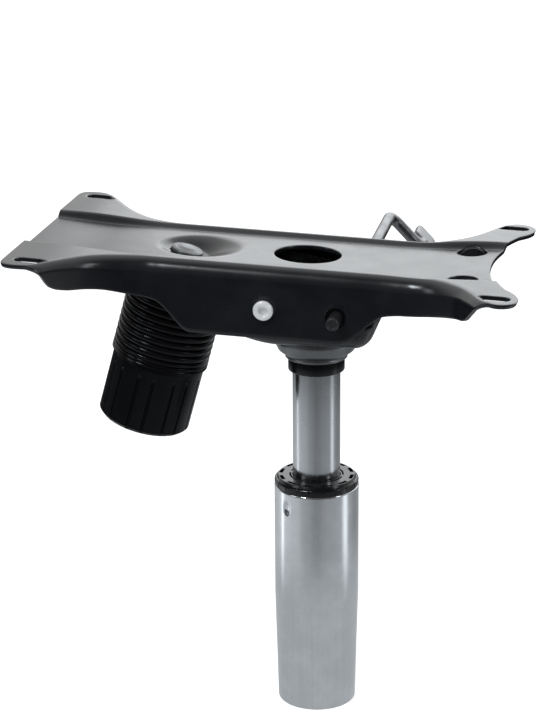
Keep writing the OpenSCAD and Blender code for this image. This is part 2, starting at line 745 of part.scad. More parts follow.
groove_top = 6.5;
knob_chamfer = 2.2;
dish_d = 36;
module knob() {
    foot = -knob_top - knob_h;
    color("#26282b") bolt_frame() difference() {
        union() {
            translate([0, 0, foot])
                cylinder(h = knob_chamfer, d1 = knob_d - 2 * knob_chamfer, d2 = knob_d, $fn = 96);
            translate([0, 0, foot + knob_chamfer])
                cylinder(h = knob_h - knob_chamfer, d = knob_d, $fn = 96);
        }
        translate([0, 0, -knob_deck]) cylinder(h = knob_h, d = knob_d - 2 * knob_wall, $fn = 96);
        translate([0, 0, -knob_deck - nut_h - 2 * seat_gap])
            cylinder(h = nut_h + over, d = (nut_af + 2 * hub_fit) / cos(30), $fn = 6);
        translate([0, 0, foot + knob_wall + dish_h]) cylinder(h = knob_h, d = bolt_d + 2 * free_gap);
        translate([0, 0, foot - over]) cylinder(h = dish_h + over, d = dish_d);
        for (p = [0:groove_pairs - 1]) for (s = [-1, 1])
            rotate(p * 360 / groove_pairs + s * groove_spread / 2)
                translate([knob_d / 2 - groove_depth, -groove_w / 2, foot - over])
                    cube([groove_depth + over, groove_w, knob_h - groove_top + over]);
    }
}
module knob_nut() {
    color("#b9bdc0") bolt_frame() difference() {
        translate([0, 0, -knob_deck - nut_h - seat_gap]) cylinder(h = nut_h, d = nut_af / cos(30), $fn = 6);
        translate([0, 0, -knob_deck - nut_h - over]) cylinder(h = nut_h + 2 * over, d = bolt_d + 2 * fit);
    }
}

// Release lever: a round rod along Y, a crank and a flattened tongue
lever_tail = 27;
bend_r = 9;
tongue_lead = 6;
tongue_corner = 3;
module bend(turn) {
    rotate_extrude(angle = turn) translate([bend_r, 0]) circle(d = lever_d);
}
module lever_rod() {
    after = lever_reach + bend_r + tongue_lead;
    color("#8f9498") ears() translate([lever.x, 0, lever.y]) rotate([0, crank_dip, 0]) {
        translate([0, -lever_tail, 0]) rotate([-90, 0, 0])
            cylinder(h = lever_tail + lever_reach - bend_r, d = lever_d);
        translate([bend_r, lever_reach - bend_r, 0]) rotate([0, 0, 90]) bend(90);
        translate([bend_r, lever_reach, 0]) rotate([0, 90, 0])
            cylinder(h = crank_l - 2 * bend_r, d = lever_d);
        translate([crank_l - bend_r, lever_reach + bend_r, 0]) rotate([0, 0, -90]) bend(90);
        translate([crank_l, lever_reach + bend_r, 0]) rotate([-90, 0, 0])
            cylinder(h = tongue_lead + tongue_corner, d = lever_d);
        translate([crank_l, after, -tongue_t / 2]) linear_extrude(tongue_t) {
            translate([-tongue_w / 2 + tongue_corner, 0]) square([tongue_w - 2 * tongue_corner, tongue_l]);
            translate([-tongue_w / 2, tongue_corner]) square([tongue_w, tongue_l - 2 * tongue_corner]);
            for (s = [-1, 1]) for (e = [tongue_corner, tongue_l - tongue_corner])
                translate([s * (tongue_w / 2 - tongue_corner), e]) circle(r = tongue_corner);
        }
    }
}
finger_hub_d = 13;
finger_half_w = 6;
finger_pad_r = 3;
finger_lift = 0.7;
finger_neck_share = 0.25;
button_gap = 0.3;
module release_finger() {
    color("#6d7277") ears() across(-finger_half_w, finger_half_w) difference() {
        union() {
            translate(lever) circle(d = finger_hub_d);
            translate([0, lever.y - finger_lift]) circle(r = finger_pad_r);
            polygon([
                [0, lever.y - finger_lift - finger_pad_r],
                [lever.x, lever.y - finger_lift - finger_pad_r],
                [lever.x, lever.y + finger_hub_d * finger_neck_share],
                [0, lever.y - finger_lift + finger_pad_r]
            ]);
        }
        translate(lever) circle(d = lever_d + 2 * hub_fit);
    }
}
clip_t = 1.2;
clip_d = 12.4;
module lever_clip() {
    color("#9a9ea2") ears() difference() {
        bar_y(lever, clip_d, -bracket_y - bracket_t - clip_t - seat_gap, -bracket_y - bracket_t - seat_gap);
        bar_y(lever, lever_d + 2 * hub_fit, -lever_tail - over, 0);
    }
}

// Gas lift, measured from the column's foot
disc_z = 3;
disc_t = 3;
race_t = 2;
race_d = 26;
ball_d = 4;
ball_circle = 20;
balls = 10;
cage_t = 1.2;
damper_h = 8;
damper_d = 24;
race_z = disc_z + disc_t;
ball_z = race_z + race_t + ball_d / 2;
upper_z = race_z + race_t + ball_d;
tube_bottom = column_h - bushing_l + over;
tube_top = ear_z - tube_top_drop;
tube_wall = 2;
lip_t = 1.5;
guide_h = 8;
piston_h = 8;
chamber_top_drop = 18;
button_d = 6;
button_rise = finger_lift + finger_pad_r + button_gap;
button_l = 12;
tube_bore = tube_d - 2 * tube_wall;
module gas_cylinder() {
    taper_z = ear_z - tube_taper_drop;
    color("#b8bcc0") difference() {
        union() {
            translate([0, 0, tube_bottom]) cylinder(h = taper_z - tube_bottom, d = tube_d, $fn = 96);
            translate([0, 0, taper_z])
                cylinder(h = tube_top - taper_z, d1 = tube_d, d2 = tube_top_d, $fn = 96);
        }
        translate([0, 0, tube_bottom + lip_t])
            cylinder(h = tube_top - chamber_top_drop - tube_bottom - lip_t, d = tube_bore);
        translate([0, 0, tube_bottom - over]) cylinder(h = lip_t + 2 * over, d = rod_d + 2 * free_gap);
        translate([0, 0, tube_top - button_l - over])
            cylinder(h = button_l + 2 * over, d = button_d + 2 * fit);
    }
}
module valve_button() {
    top = ear_z - lever_drop - button_rise;
    color("#1d1f21") translate([0, 0, top - button_l]) cylinder(h = button_l, d = button_d);
}
seal_h = 2;
module rod_guide() {
    z = tube_bottom + lip_t + seal_h;
    color("#77603a") ring(rod_d + 2 * fit, tube_bore - 2 * hub_fit, z, z + guide_h - seal_h);
}
module cylinder_seal() {
    z = tube_bottom + lip_t;
    color("#101010") ring(rod_d + 2 * fit, tube_bore - 2 * hub_fit, z, z + seal_h);
}
rod_foot = 0.8;
module piston_rod() {
    color("#d0d3d6") translate([0, 0, rod_foot])
        cylinder(h = tube_bottom + lip_t + guide_h + end_gap - rod_foot, d = rod_d);
}
module piston() {
    z = tube_bottom + lip_t + guide_h + end_gap;
    color("#8a6d3b") translate([0, 0, z]) cylinder(h = piston_h, d = tube_bore - 2 * fit);
}
module upper_race() {
    color("#aab0b5") ring(rod_d + 2 * hub_fit, race_d, upper_z, upper_z + race_t);
}
module stop_damper() {
    color("#151515") ring(rod_d + 2 * hub_fit, damper_d, upper_z + race_t, upper_z + race_t + damper_h);
}
clip_washer_t = 0.8;
clip_washer_d = 20;
retaining_clip_d = 17;
module clip_washer() {
    color("#9aa0a5")
        ring(rod_d + 2 * hub_fit, clip_washer_d, disc_z - clip_washer_t - seat_gap, disc_z - seat_gap);
}
module retaining_clip() {
    top = disc_z - clip_washer_t - seat_gap;
    color("#b0b4b8") ring(rod_d + 2 * hub_fit, retaining_clip_d, rod_foot + 3 * seat_gap, top);
}
module ball_places() {
    for (k = [0:balls - 1]) rotate(k * 360 / balls) translate([ball_circle / 2, 0, ball_z]) children();
}
cage_w = 4.8;
module ball_cage() {
    color("#b08d3c") difference() {
        ring(ball_circle - cage_w, ball_circle + cage_w, ball_z - cage_t / 2, ball_z + cage_t / 2);
        ball_places() translate([0, 0, -cage_t]) cylinder(h = 2 * cage_t, d = ball_d + 2 * hub_fit);
    }
}
module bearing_balls() {
    color("#dfe2e5") ball_places() sphere(d = ball_d - 2 * hub_fit);
}
taper_share = 0.05;
column_foot_d = column_d - taper_h * taper_share;
column_bore = column_d - 2 * column_wall;
foot_bore = column_foot_d - 2 * column_wall;
function bore_at(z) = foot_bore + (column_bore - foot_bore) * min(z, taper_h) / taper_h;
module column_tube() {
    color("#c3c7ca") difference() {
        union() {
            cylinder(h = taper_h, d1 = column_foot_d, d2 = column_d, $fn = 96);
            translate([0, 0, taper_h]) cylinder(h = column_h - taper_h, d = column_d, $fn = 96);
        }
        translate([0, 0, -over])
            cylinder(h = taper_h + over, d1 = bore_at(-over), d2 = column_bore, $fn = 96);
        translate([0, 0, taper_h - over]) cylinder(h = column_h, d = column_bore, $fn = 96);
    }
}
module base_disc() {
    color("#7c8186") ring(rod_d + 2 * free_gap, bore_at(disc_z) - 2 * fit, disc_z, disc_z + disc_t);
}
module lower_race() {
    color("#aab0b5") ring(rod_d + 2 * free_gap, race_d, race_z, race_z + race_t);
}
collar_d = 49.8;
bushing_slots = 18;
bushing_slot_w = 1.8;
bushing_slot_l = 3.4;
bushing_slot_h = 3;
bushing_rim_share = 0.42;
inner_collar_d = 35;
module guide_bushing() {
    top = column_h + bushing_rise;
    rim = bushing_rise * bushing_rim_share;
    slot_r = collar_d / 2 - bushing_slot_l - bushing_slot_h / 2;
    color("#1a1b1d") difference() {
        union() {
            translate([0, 0, column_h - bushing_l])
                cylinder(h = bushing_l, d = column_bore - 2 * hub_fit, $fn = 96);
            translate([0, 0, column_h]) cylinder(h = bushing_rise - rim, d = collar_d, $fn = 96);
            translate([0, 0, top - rim]) cylinder(h = rim, d1 = collar_d, d2 = collar_d - rim);
        }
        translate([0, 0, column_h - bushing_l - over])
            cylinder(h = bushing_l + bushing_rise + 2 * over, d = tube_d + 2 * fit, $fn = 96);
        ring(inner_collar_d, inner_collar_d + bushing_slot_l, top - bushing_slot_h / 2, top + over);
        for (k = [0:bushing_slots - 1]) rotate(k * 360 / bushing_slots)
            translate([slot_r, -bushing_slot_w / 2, top - bushing_slot_h])
                cube([bushing_slot_l, bushing_slot_w, bushing_slot_h + over]);
    }
}

seat_plate();
pivot_bushes();
lock_guide();
lock_pin();
lower_housing();
taper_hub();
hub_ring();
pivot_axle();
pivot_nut();
lever_bush();
release_bracket();
spring_seat();
boot();
tension_bolt();
tension_spring();
spring_washer();
knob();
knob_nut();
lever_rod();
release_finger();
lever_clip();
gas_cylinder();
valve_button();
rod_guide();
cylinder_seal();
piston_rod();
piston();
upper_race();
stop_damper();
clip_washer();
retaining_clip();
ball_cage();
bearing_balls();
column_tube();
base_disc();
lower_race();
guide_bushing();
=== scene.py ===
# %% [markdown]
# # The frame of an office chair
# A pressed steel seat plate turns on a hinge bolt in a pressed housing. A leaning
# bolt with a spring, a ribbed boot and a grip knob sets how hard the seat tilts.
# A bent lever opens the gas lift, whose cylinder slides in a column. The packed
# CAD model is loaded first. It gives every place and size, and it never changes:
# pieces that need a finer skin are made here and stand in for their CAD node.
# %% Load the frame
import bpy
import json
import math
import numpy as np
from mathutils import Matrix


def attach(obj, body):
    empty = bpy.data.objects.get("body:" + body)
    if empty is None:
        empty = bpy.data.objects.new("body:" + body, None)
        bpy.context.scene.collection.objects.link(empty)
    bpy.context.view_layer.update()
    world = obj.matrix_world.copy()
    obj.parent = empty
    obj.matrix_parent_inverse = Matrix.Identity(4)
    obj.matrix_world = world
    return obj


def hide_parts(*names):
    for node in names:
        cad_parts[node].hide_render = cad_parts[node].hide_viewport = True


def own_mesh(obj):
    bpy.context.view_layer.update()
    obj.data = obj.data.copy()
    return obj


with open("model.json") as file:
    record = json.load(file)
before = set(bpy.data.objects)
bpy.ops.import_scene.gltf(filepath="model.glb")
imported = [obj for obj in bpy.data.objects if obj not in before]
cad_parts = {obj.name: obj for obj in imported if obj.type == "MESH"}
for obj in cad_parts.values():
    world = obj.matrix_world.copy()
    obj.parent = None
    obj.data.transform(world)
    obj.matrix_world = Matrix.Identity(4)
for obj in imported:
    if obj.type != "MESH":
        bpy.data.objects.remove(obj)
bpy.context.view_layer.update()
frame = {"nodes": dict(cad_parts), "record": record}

# %% [markdown]
# The camera was fitted to the round tubes, whose ellipses give the downward angle,
# and to the plate. Blender wants a matrix, so its directions come from three angles.
# %% Camera
def aim_camera(place, down, turn, roll):
    """Look down by one angle, turned about Z by another, then rolled about the view."""
    e, y, r = (math.radians(v) for v in (down, turn, roll))
    ahead = np.array([math.sin(y) * math.cos(e), math.cos(y) * math.cos(e), -math.sin(e)])
    right = np.array([math.cos(y), -math.sin(y), 0.0])
    up = np.cross(right, ahead)
    side = right * math.cos(r) + up * math.sin(r)
    head = up * math.cos(r) - right * math.sin(r)
    data = bpy.data.cameras.new("camera")
    data.lens, data.sensor_width, data.clip_end = 102.15, 36.0, 60.0
    cam = bpy.data.objects.new("camera", data)
    matrix = np.eye(4)
    matrix[:3, 0], matrix[:3, 1], matrix[:3, 2], matrix[:3, 3] = side, head, -ahead, place
    cam.matrix_world = Matrix(matrix.tolist())
    bpy.context.collection.objects.link(cam)
    bpy.context.scene.camera = cam
    return cam

camera = aim_camera((0.183, -1.115, 0.5816), 18.0, -10.69, -0.49)
print("camera at", tuple(round(v, 3) for v in camera.location), "lens", camera.data.lens)

# %% [markdown]
# A surface is a whole numpy array of points with a grid of faces over it. Doubles
# are welded, which closes seams and poles, and a closed piece is turned right side
# out by the sign of its volume.
# %% Mesh tools
MM = 0.001

def grid_faces(rows, cols, wrap_rows=False, wrap_cols=False):
    """Quads between neighbouring rows and columns of a grid of points."""
    i = np.arange(rows if wrap_rows else rows - 1)[:, None]
    j = np.arange(cols if wrap_cols else cols - 1)[None, :]
    a = i * cols + j
    b = i * cols + (j + 1) % cols
    c = ((i + 1) % rows) * cols + (j + 1) % cols
    d = ((i + 1) % rows) * cols + j
    return np.stack([a, b, c, d], -1).reshape(-1, 4)

def weld(points, faces):
    """Points at the same place become one, and faces that lose a corner are mended."""
    key = np.round(points / 1e-4).astype(np.int64)
    _, first, back = np.unique(key, axis=0, return_index=True, return_inverse=True)
    faces = back.reshape(-1)[faces]
    nxt = np.roll(faces, -1, 1)
    same = faces == nxt
    whole = faces[same.sum(1) == 0]
    short = faces[same.sum(1) == 1]
    keep = ~same[same.sum(1) == 1]
    tris = short[keep].reshape(-1, 3)
    whole = whole[(whole[:, 0] != whole[:, 2]) & (whole[:, 1] != whole[:, 3])]
    tris = tris[(tris[:, 0] != tris[:, 2])]
    return points[first], whole, tris

def volume(points, quads, tris):
    """Sum of the signed boxes that each triangle spans with the origin."""
    t = np.concatenate([quads[:, :3], quads[:, [0, 2, 3]], tris])
    p = points - points.mean(0)
    return np.einsum("ij,ij->i", p[t[:, 0]], np.cross(p[t[:, 1]], p[t[:, 2]])).sum() / 6

def make_mesh(name, points, faces, crease=32.0, closed=True):
    """Millimetre points and faces as a smooth-shaded object, with sharp creases kept."""
    points, quads, tris = weld(np.asarray(points, float).reshape(-1, 3), np.asarray(faces))
    if closed and volume(points, quads, tris) < 0:
        quads, tris = quads[:, ::-1], tris[:, ::-1]
    mesh = bpy.data.meshes.new(name)
    loops = np.concatenate([quads.ravel(), tris.ravel()]).astype(np.int32)
    totals = np.concatenate([np.full(len(quads), 4), np.full(len(tris), 3)]).astype(np.int32)
    starts = np.concatenate([[0], np.cumsum(totals)[:-1]]).astype(np.int32)
    mesh.vertices.add(len(points))
    mesh.vertices.foreach_set("co", (points * MM).astype(np.float32).ravel())
    mesh.loops.add(len(loops))
    mesh.loops.foreach_set("vertex_index", loops)
    mesh.polygons.add(len(totals))
    mesh.polygons.foreach_set("loop_start", starts)
    mesh.update(calc_edges=True)
    mesh.validate()
    mesh.shade_smooth()
    mesh.set_sharp_from_angle(angle=math.radians(crease))
    piece = bpy.data.objects.new(name, mesh)
    bpy.context.collection.objects.link(piece)
    return piece

# %% [markdown]
# Most pieces are turned, so their outline is drawn once and carried round an axis.
# Real edges are never sharp: each corner of an outline gets its own small radius.
# A piece is made with Z along its axis, and then moved to its place on the chair.
# %% Outlines, turned shapes and the frames they are placed in
EAR_Z = 282.6
SEAT_LEAN = math.radians(2.34)
BOLT_LEAN = math.radians(15.6)
BOLT_X, BOLT_DROP = -76.2, 8.0
BOOT_DROP, BOOT_R = 23.4, 28.7
HINGE, PIN = (-22.6, 25.9), (18.0, 28.9)

def rounded(corners, steps=5):
    """Outline through corners (radius, height, corner radius), each rounded by an arc."""
    c = np.asarray(corners, float)
    p, r = c[:, :2], c[:, 2]
    to_last, to_next = np.roll(p, 1, 0) - p, np.roll(p, -1, 0) - p
    to_last /= np.linalg.norm(to_last, axis=1, keepdims=True)
    to_next /= np.linalg.norm(to_next, axis=1, keepdims=True)
    half = np.arccos(np.clip((to_last * to_next).sum(1), -1, 1)) / 2
    half = np.clip(half, 0.05, math.pi / 2 - 1e-3)
    way = (to_last + to_next) / np.linalg.norm(to_last + to_next, axis=1, keepdims=True)
    middle = p + way * (r / np.sin(half))[:, None]
    start = p + to_last * (r / np.tan(half))[:, None] - middle
    end = p + to_next * (r / np.tan(half))[:, None] - middle
    turn = math.pi - 2 * half
    s = np.linspace(0, 1, steps)[None, :, None]
    w = turn[:, None, None]
    arc = (np.sin((1 - s) * w) * start[:, None] + np.sin(s * w) * end[:, None]) / np.sin(w)
    return (middle[:, None] + arc).reshape(-1, 2)

def turned(outline, segments=128, shape=None):
    """The outline carried once round Z; shape may change the radius by angle and place."""
    a = np.linspace(0, 2 * math.pi, segments, endpoint=False)
    r, z = np.broadcast_arrays(outline[:, :1], outline[:, 1:])
    r = np.repeat(r, segments, 1)
    z = np.repeat(z, segments, 1)
    a = np.broadcast_to(a, r.shape)
    if shape:
        r, z = shape(a, r, z)
    return np.stack([r * np.cos(a), r * np.sin(a), z], -1), grid_faces(*r.shape, True, True)

def lean(points, angle, origin):
    """Turn about Y by an angle and move to an origin, as the CAD frames do."""
    x, y, z = points[..., 0], points[..., 1], points[..., 2]
    c, s = math.cos(angle), math.sin(angle)
    return np.stack([x * c + z * s, y, z * c - x * s], -1) + np.asarray(origin, float)

def on_lift(p):
    return p

def on_bolt(p):
    """The tension bolt's frame: Z along the bolt, zero just under its head."""
    return lean(p, BOLT_LEAN, (BOLT_X, 0, EAR_Z - BOLT_DROP))

def on_plate(p):
    """The seat plate's frame: Z square to the plate, zero at the ears."""
    return lean(p, SEAT_LEAN, (0, 0, EAR_Z))

def along_y(x, drop, side):
    """A frame whose Z points out along Y on one side, at a place below the ears."""
    def place(p):
        return np.stack([x + p[..., 0] * side, side * p[..., 2], EAR_Z - drop + p[..., 1]], -1)
    return place

# %% [markdown]
# ## Finishes
# Shared effects are node groups that give out masks and heights. They read Object
# coordinates, so a pattern is fixed to its piece. The first is the skin of powder
# paint and moulded plastic: a soft ripple with a finer grain on it.
# %% Node helpers and the skin group
def group(name, inputs, outputs):
    g = bpy.data.node_groups.new(name, "ShaderNodeTree")
    for label, kind, value in inputs:
        s = g.interface.new_socket(name=label, in_out="INPUT", socket_type=kind)
        s.default_value = value
    for label, kind in outputs:
        g.interface.new_socket(name=label, in_out="OUTPUT", socket_type=kind)
    return g, g.nodes.new("NodeGroupInput"), g.nodes.new("NodeGroupOutput")

def node(tree, kind, links=(), **values):
    """A node with its settings; links are pairs of an input and a source socket."""
    n = tree.nodes.new("ShaderNode" + kind)
    for key, value in values.items():
        setattr(n, key, value)
    for key, source in dict(links).items():
        if hasattr(source, "is_output"):
            tree.links.new(source, n.inputs[key])
        else:
            n.inputs[key].default_value = source
    return n

def math_node(t, kind, a, b, clamp=False):
    return node(t, "Math", {0: a, 1: b}, operation=kind, use_clamp=clamp).outputs[0]

def noise(t, at, scale, detail, rough=0.5):
    return node(t, "TexNoise", {"Vector": at, "Scale": scale, "Detail": detail, "Roughness": rough}).outputs[0]

F, V = "NodeSocketFloat", "NodeSocketVector"

def make_skin():
    """Bumps: a ripple at one scale plus a grain at another, and an even roughness cloud."""
    g, i, o = group("skin", [("Ripple Scale", F, 900.0), ("Grain Scale", F, 4000.0),
                             ("Ripple", F, 0.5), ("Grain", F, 0.3)],
                    [("Height", F), ("Cloud", F)])
    at = node(g, "TexCoord").outputs["Object"]
    ripple = math_node(g, "MULTIPLY", noise(g, at, i.outputs["Ripple Scale"], 2.0), i.outputs["Ripple"])
    grain = math_node(g, "MULTIPLY", noise(g, at, i.outputs["Grain Scale"], 3.0), i.outputs["Grain"])
    g.links.new(math_node(g, "ADD", ripple, grain), o.inputs["Height"])
    g.links.new(noise(g, at, 38.0, 5.0, 0.6), o.inputs["Cloud"])
    return g

skin = make_skin()
print("group", skin.name, [s.name for s in skin.interface.items_tree])

# %% [markdown]
# Drawn and ground metal carries fine lines. The second group stretches a noise along
# the piece and gives the streaks as a value and as a height. The third is dust and
# rubbing: a broad, uneven mask.
# %% Streaks and rubbing
def make_streaks():
    """Noise squeezed across the piece and stretched along it, by a scale for each axis."""
    g, i, o = group("streaks", [("Scale", V, (900.0, 900.0, 12.0)),
                                ("Fine Scale", V, (4000.0, 4000.0, 40.0))],
                    [("Broad", F), ("Fine", F)])
    at = node(g, "TexCoord").outputs["Object"]
    for label, scale in (("Broad", "Scale"), ("Fine", "Fine Scale")):
        m = node(g, "VectorMath", {0: at, 1: i.outputs[scale]}, operation="MULTIPLY")
        g.links.new(noise(g, m.outputs[0], 1.0, 3.0), o.inputs[label])
    return g

def make_rub():
    """A broad mask that clears most of the surface."""
    g, i, o = group("rub", [("Scale", F, 60.0)], [("Mask", F)])
    cloud = noise(g, node(g, "TexCoord").outputs["Object"], i.outputs["Scale"], 6.0, 0.65)
    mask = node(g, "MapRange", {"Value": cloud, "From Min": 0.45, "From Max": 0.72})
    g.links.new(mask.outputs[0], o.inputs["Mask"])
    return g

streaks, rub = make_streaks(), make_rub()
print("groups", streaks.name, rub.name)

# %% [markdown]
# A finish is one material: two close colours mixed by a cloud, a roughness range, and
# a bump. Painted and moulded finishes use the skin group, drawn metal the streaks.
# %% Painted, moulded and metal finishes
finishes = {}

DUST = (0.3, 0.3, 0.3, 1)

def start_finish(name, metallic, ior):
    mat = bpy.data.materials.new(name)
    mat.use_nodes = True
    t = mat.node_tree
    shader = t.nodes["Principled BSDF"]
    shader.inputs["Metallic"].default_value = metallic
    shader.inputs["IOR"].default_value = ior
    finishes[name] = mat
    return t, shader

def two_colours(t, shader, fac, low, high, rough):
    """Colour and roughness both run from a low to a high value with the same cloud."""
    mix = node(t, "Mix", {"Factor": fac}, data_type="RGBA")
    mix.inputs[6].default_value, mix.inputs[7].default_value = (*low, 1), (*high, 1)
    t.links.new(mix.outputs[2], shader.inputs["Base Color"])
    r = node(t, "MapRange", {"Value": fac, "From Min": 0.3, "From Max": 0.7,
                                       "To Min": rough[0], "To Max": rough[1]})
    t.links.new(r.outputs[0], shader.inputs["Roughness"])
    return mix.outputs[2]

def bump(t, shader, height, strength, distance):
    b = node(t, "Bump", {"Height": height, "Strength": strength, "Distance": distance})
    t.links.new(b.outputs[0], shader.inputs["Normal"])

def painted(name, low, high, rough, ripple=(900, 4000, 0.6, 0.25), depth=0.00004, strength=0.35,
            ior=1.5, metallic=0.0, dusty=0.0):
    t, shader = start_finish(name, metallic, ior)
    s = node(t, "Group", {}, node_tree=skin)
    for key, value in zip(("Ripple Scale", "Grain Scale", "Ripple", "Grain"), ripple):
        s.inputs[key].default_value = value
    clean = two_colours(t, shader, s.outputs["Cloud"], low, high, rough)
    if dusty:
        mask = node(t, "Group", {}, node_tree=rub).outputs["Mask"]
        d = node(t, "Mix", {"Factor": math_node(t, "MULTIPLY", mask, dusty)}, data_type="RGBA")
        t.links.new(clean, d.inputs[6])
        d.inputs[7].default_value = DUST
        t.links.new(d.outputs[2], shader.inputs["Base Color"])
    bump(t, shader, s.outputs["Height"], strength, depth)

def drawn(name, low, high, rough, along, fine, strength=0.25):
    t, shader = start_finish(name, 1.0, 1.5)
    s = node(t, "Group", {}, node_tree=streaks)
    s.inputs["Scale"].default_value, s.inputs["Fine Scale"].default_value = along, fine
    mask = node(t, "Group", {}, node_tree=rub).outputs["Mask"]
    both = math_node(t, "ADD", s.outputs["Broad"], mask)
    two_colours(t, shader, math_node(t, "MULTIPLY", both, 0.6), low, high, rough)
    bump(t, shader, s.outputs["Fine"], strength, 0.00001)

painted("black_powder_coat", (0.0035, 0.0042, 0.0058), (0.006, 0.007, 0.0095), (0.20, 0.28),
        ripple=(520, 1900, 0.8, 0.2), depth=0.00006, strength=0.22, ior=1.55, dusty=0.01)
painted("dark_powder_coat", (0.009, 0.010, 0.012), (0.016, 0.017, 0.020), (0.22, 0.32),
        ripple=(600, 2400, 0.7, 0.4), depth=0.00006, strength=0.3, dusty=0.02)
painted("black_nylon", (0.002, 0.002, 0.0025), (0.005, 0.005, 0.006), (0.16, 0.25),
        ripple=(300, 5200, 0.2, 0.6), depth=0.00003, strength=0.2, ior=1.42)
painted("knob_plastic", (0.0016, 0.0019, 0.0025), (0.0038, 0.0043, 0.0053), (0.24, 0.32),
        ripple=(700, 3600, 0.2, 0.9), depth=0.00006, strength=0.3, ior=1.22, dusty=0.002)
painted("boot_rubber", (0.0015, 0.0015, 0.002), (0.003, 0.003, 0.004), (0.17, 0.25),
        ripple=(260, 3000, 0.3, 0.4), depth=0.00003, strength=0.12, ior=1.26)
painted("seal_rubber", (0.010, 0.010, 0.010), (0.018, 0.018, 0.018), (0.45, 0.6))
painted("black_pin_steel", (0.018, 0.018, 0.020), (0.050, 0.050, 0.054), (0.26, 0.42),
        metallic=0.6, ripple=(800, 5000, 0.3, 0.6), depth=0.00003)
painted("zinc_plate", (0.11, 0.115, 0.12), (0.24, 0.245, 0.25), (0.28, 0.46), metallic=0.9,
        ripple=(420, 2600, 0.5, 0.5), depth=0.00004, strength=0.3)
painted("polished_steel", (0.74, 0.75, 0.76), (0.86, 0.87, 0.88), (0.14, 0.26),
        metallic=0.35, strength=0.15)
painted("bearing_brass", (0.46, 0.33, 0.13), (0.62, 0.47, 0.22), (0.22, 0.4), metallic=1.0, strength=0.15)
drawn("spring_steel", (0.10, 0.10, 0.11), (0.22, 0.22, 0.23), (0.25, 0.42),
      (300, 300, 300), (3000, 3000, 3000))
drawn("grey_zinc_rod", (0.13, 0.133, 0.138), (0.24, 0.244, 0.25), (0.30, 0.44),
      (700, 14, 700), (3800, 60, 3800), 0.35)
drawn("chrome_column", (0.60, 0.615, 0.63), (0.76, 0.775, 0.79), (0.12, 0.20),
      (500, 500, 5), (3500, 3500, 20), 0.25)
drawn("ground_steel_tube", (0.44, 0.455, 0.47), (0.64, 0.655, 0.67), (0.18, 0.30),
      (700, 700, 6), (4200, 4200, 25), 0.3)
print(len(finishes), "finishes")

# %% [markdown]
# One helper finishes every piece: it gives the material and the body that carries the
# piece, and hides the CAD node that it stands for.
# %% Finishing a piece
def dress(piece, finish, body, *nodes):
    piece.data.materials.append(finishes[finish])
    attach(piece, body)
    if nodes:
        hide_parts(*nodes)
    print(f"{piece.name}: {len(piece.data.polygons)} faces on {body}")
    return piece

# %% [markdown]
# ## Seat plate
# The real plate is one blank of sheet steel, pressed so that it has four ears for the
# seat, a trough along the middle, rolled edges and two deep skirts. It is a surface
# over a table of stations. Each row gives, in millimetres, the station on the centre line and
# at the edge, how far the edge stands out, the skirt's depth and its radius.
# %% The plate's stations
PLATE_L, FRONT, WEB, SHEET = 282.0, 162.0, 36.5, 2.5
EASE = 0.5
STATIONS = np.array([
    [-161.7, -161.7, 76.5, 0.15, 0.6], [-160.8, -161.0, 80.9, 0.15, 1.5], [-158.6, -158.9, 83.9, 0.15, 4],
    [-155.5, -155.3, 85.4, 0.15, 5], [-150.5, -150.0, 85.5, 0.15, 5], [-146.5, -146.2, 83.9, 0.9, 5],
    [-142.6, -142.6, 80.0, 5.6, 5], [-138.6, -138.7, 74.1, 13.8, 5], [-132.1, -132.4, 64.7, 17.0, 5.5],
    [-123.9, -124.8, 54.3, 17.8, 6.5], [-114.9, -115.5, 45.9, 18.6, 7.5], [-103.9, -104.5, 40.2, 20.2, 8],
    [-92.1, -92.1, 37.0, 21.9, 8], [-83.9, -83.9, 36.5, 23.5, 8], [-78.0, -78.0, 36.5, 27.5, 8],
    [-72.0, -72.0, 36.5, 34.0, 8], [-66.1, -66.1, 36.5, 39.5, 8], [-59.9, -59.9, 36.5, 40.5, 8],
    [-35.1, -35.1, 36.5, 40.5, 8], [-9.7, -9.7, 36.5, 40.5, 8], [14.0, 14.0, 36.5, 40.5, 8],
    [24.1, 24.1, 36.5, 39.3, 8], [30.9, 30.9, 36.5, 34.4, 8], [37.1, 37.1, 36.5, 27.9, 8],
    [43.9, 43.9, 36.5, 22.7, 8], [52.9, 52.9, 37.0, 20.7, 8], [61.9, 62.5, 38.0, 20.2, 8],
    [70.9, 72.6, 41.0, 19.8, 8], [79.1, 81.9, 47.4, 18.6, 7.5], [85.9, 91.0, 57.8, 16.6, 6.5],
    [90.4, 96.9, 68.2, 14.6, 6], [93.0, 100.6, 76.0, 8.1, 5.5], [95.0, 104.6, 82.4, 0.9, 5],
    [96.6, 109.6, 85.3, 0.15, 5], [98.0, 114.4, 84.3, 0.15, 4], [98.9, 118.0, 81.2, 0.15, 2],
    [99.4, 119.4, 76.8, 0.15, 1], [99.6, 119.6, 72.2, 0.15, 0.6]])

def smooth(a, b, x):
    """Zero below a, one above b, and an even S between."""
    t = np.clip((x - a) / (b - a), 0, 1)
    return t * t * (3 - 2 * t)

def through(table, u):
    """A smooth curve through the rows of a table: each span bends with its neighbours."""
    n = len(table) - 1
    t = np.asarray(u) * n
    i = np.clip(t.astype(int), 0, n - 1)
    f = (t - i)[:, None]
    full = np.vstack([2 * table[:1] - table[1:2], table, 2 * table[-1:] - table[-2:-1]])
    a, b, c, d = (full[i + k] for k in range(4))
    square, cube = 2 * a - 5 * b + 4 * c - d, 3 * b - a - 3 * c + d
    return (2 * b + (c - a) * f + square * f ** 2 + cube * f ** 3) / 2

def fade(s, x):
    a, b, c, d = (v * PLATE_L - FRONT for v in s)
    return smooth(a, b, x) * (1 - smooth(c, d, x))

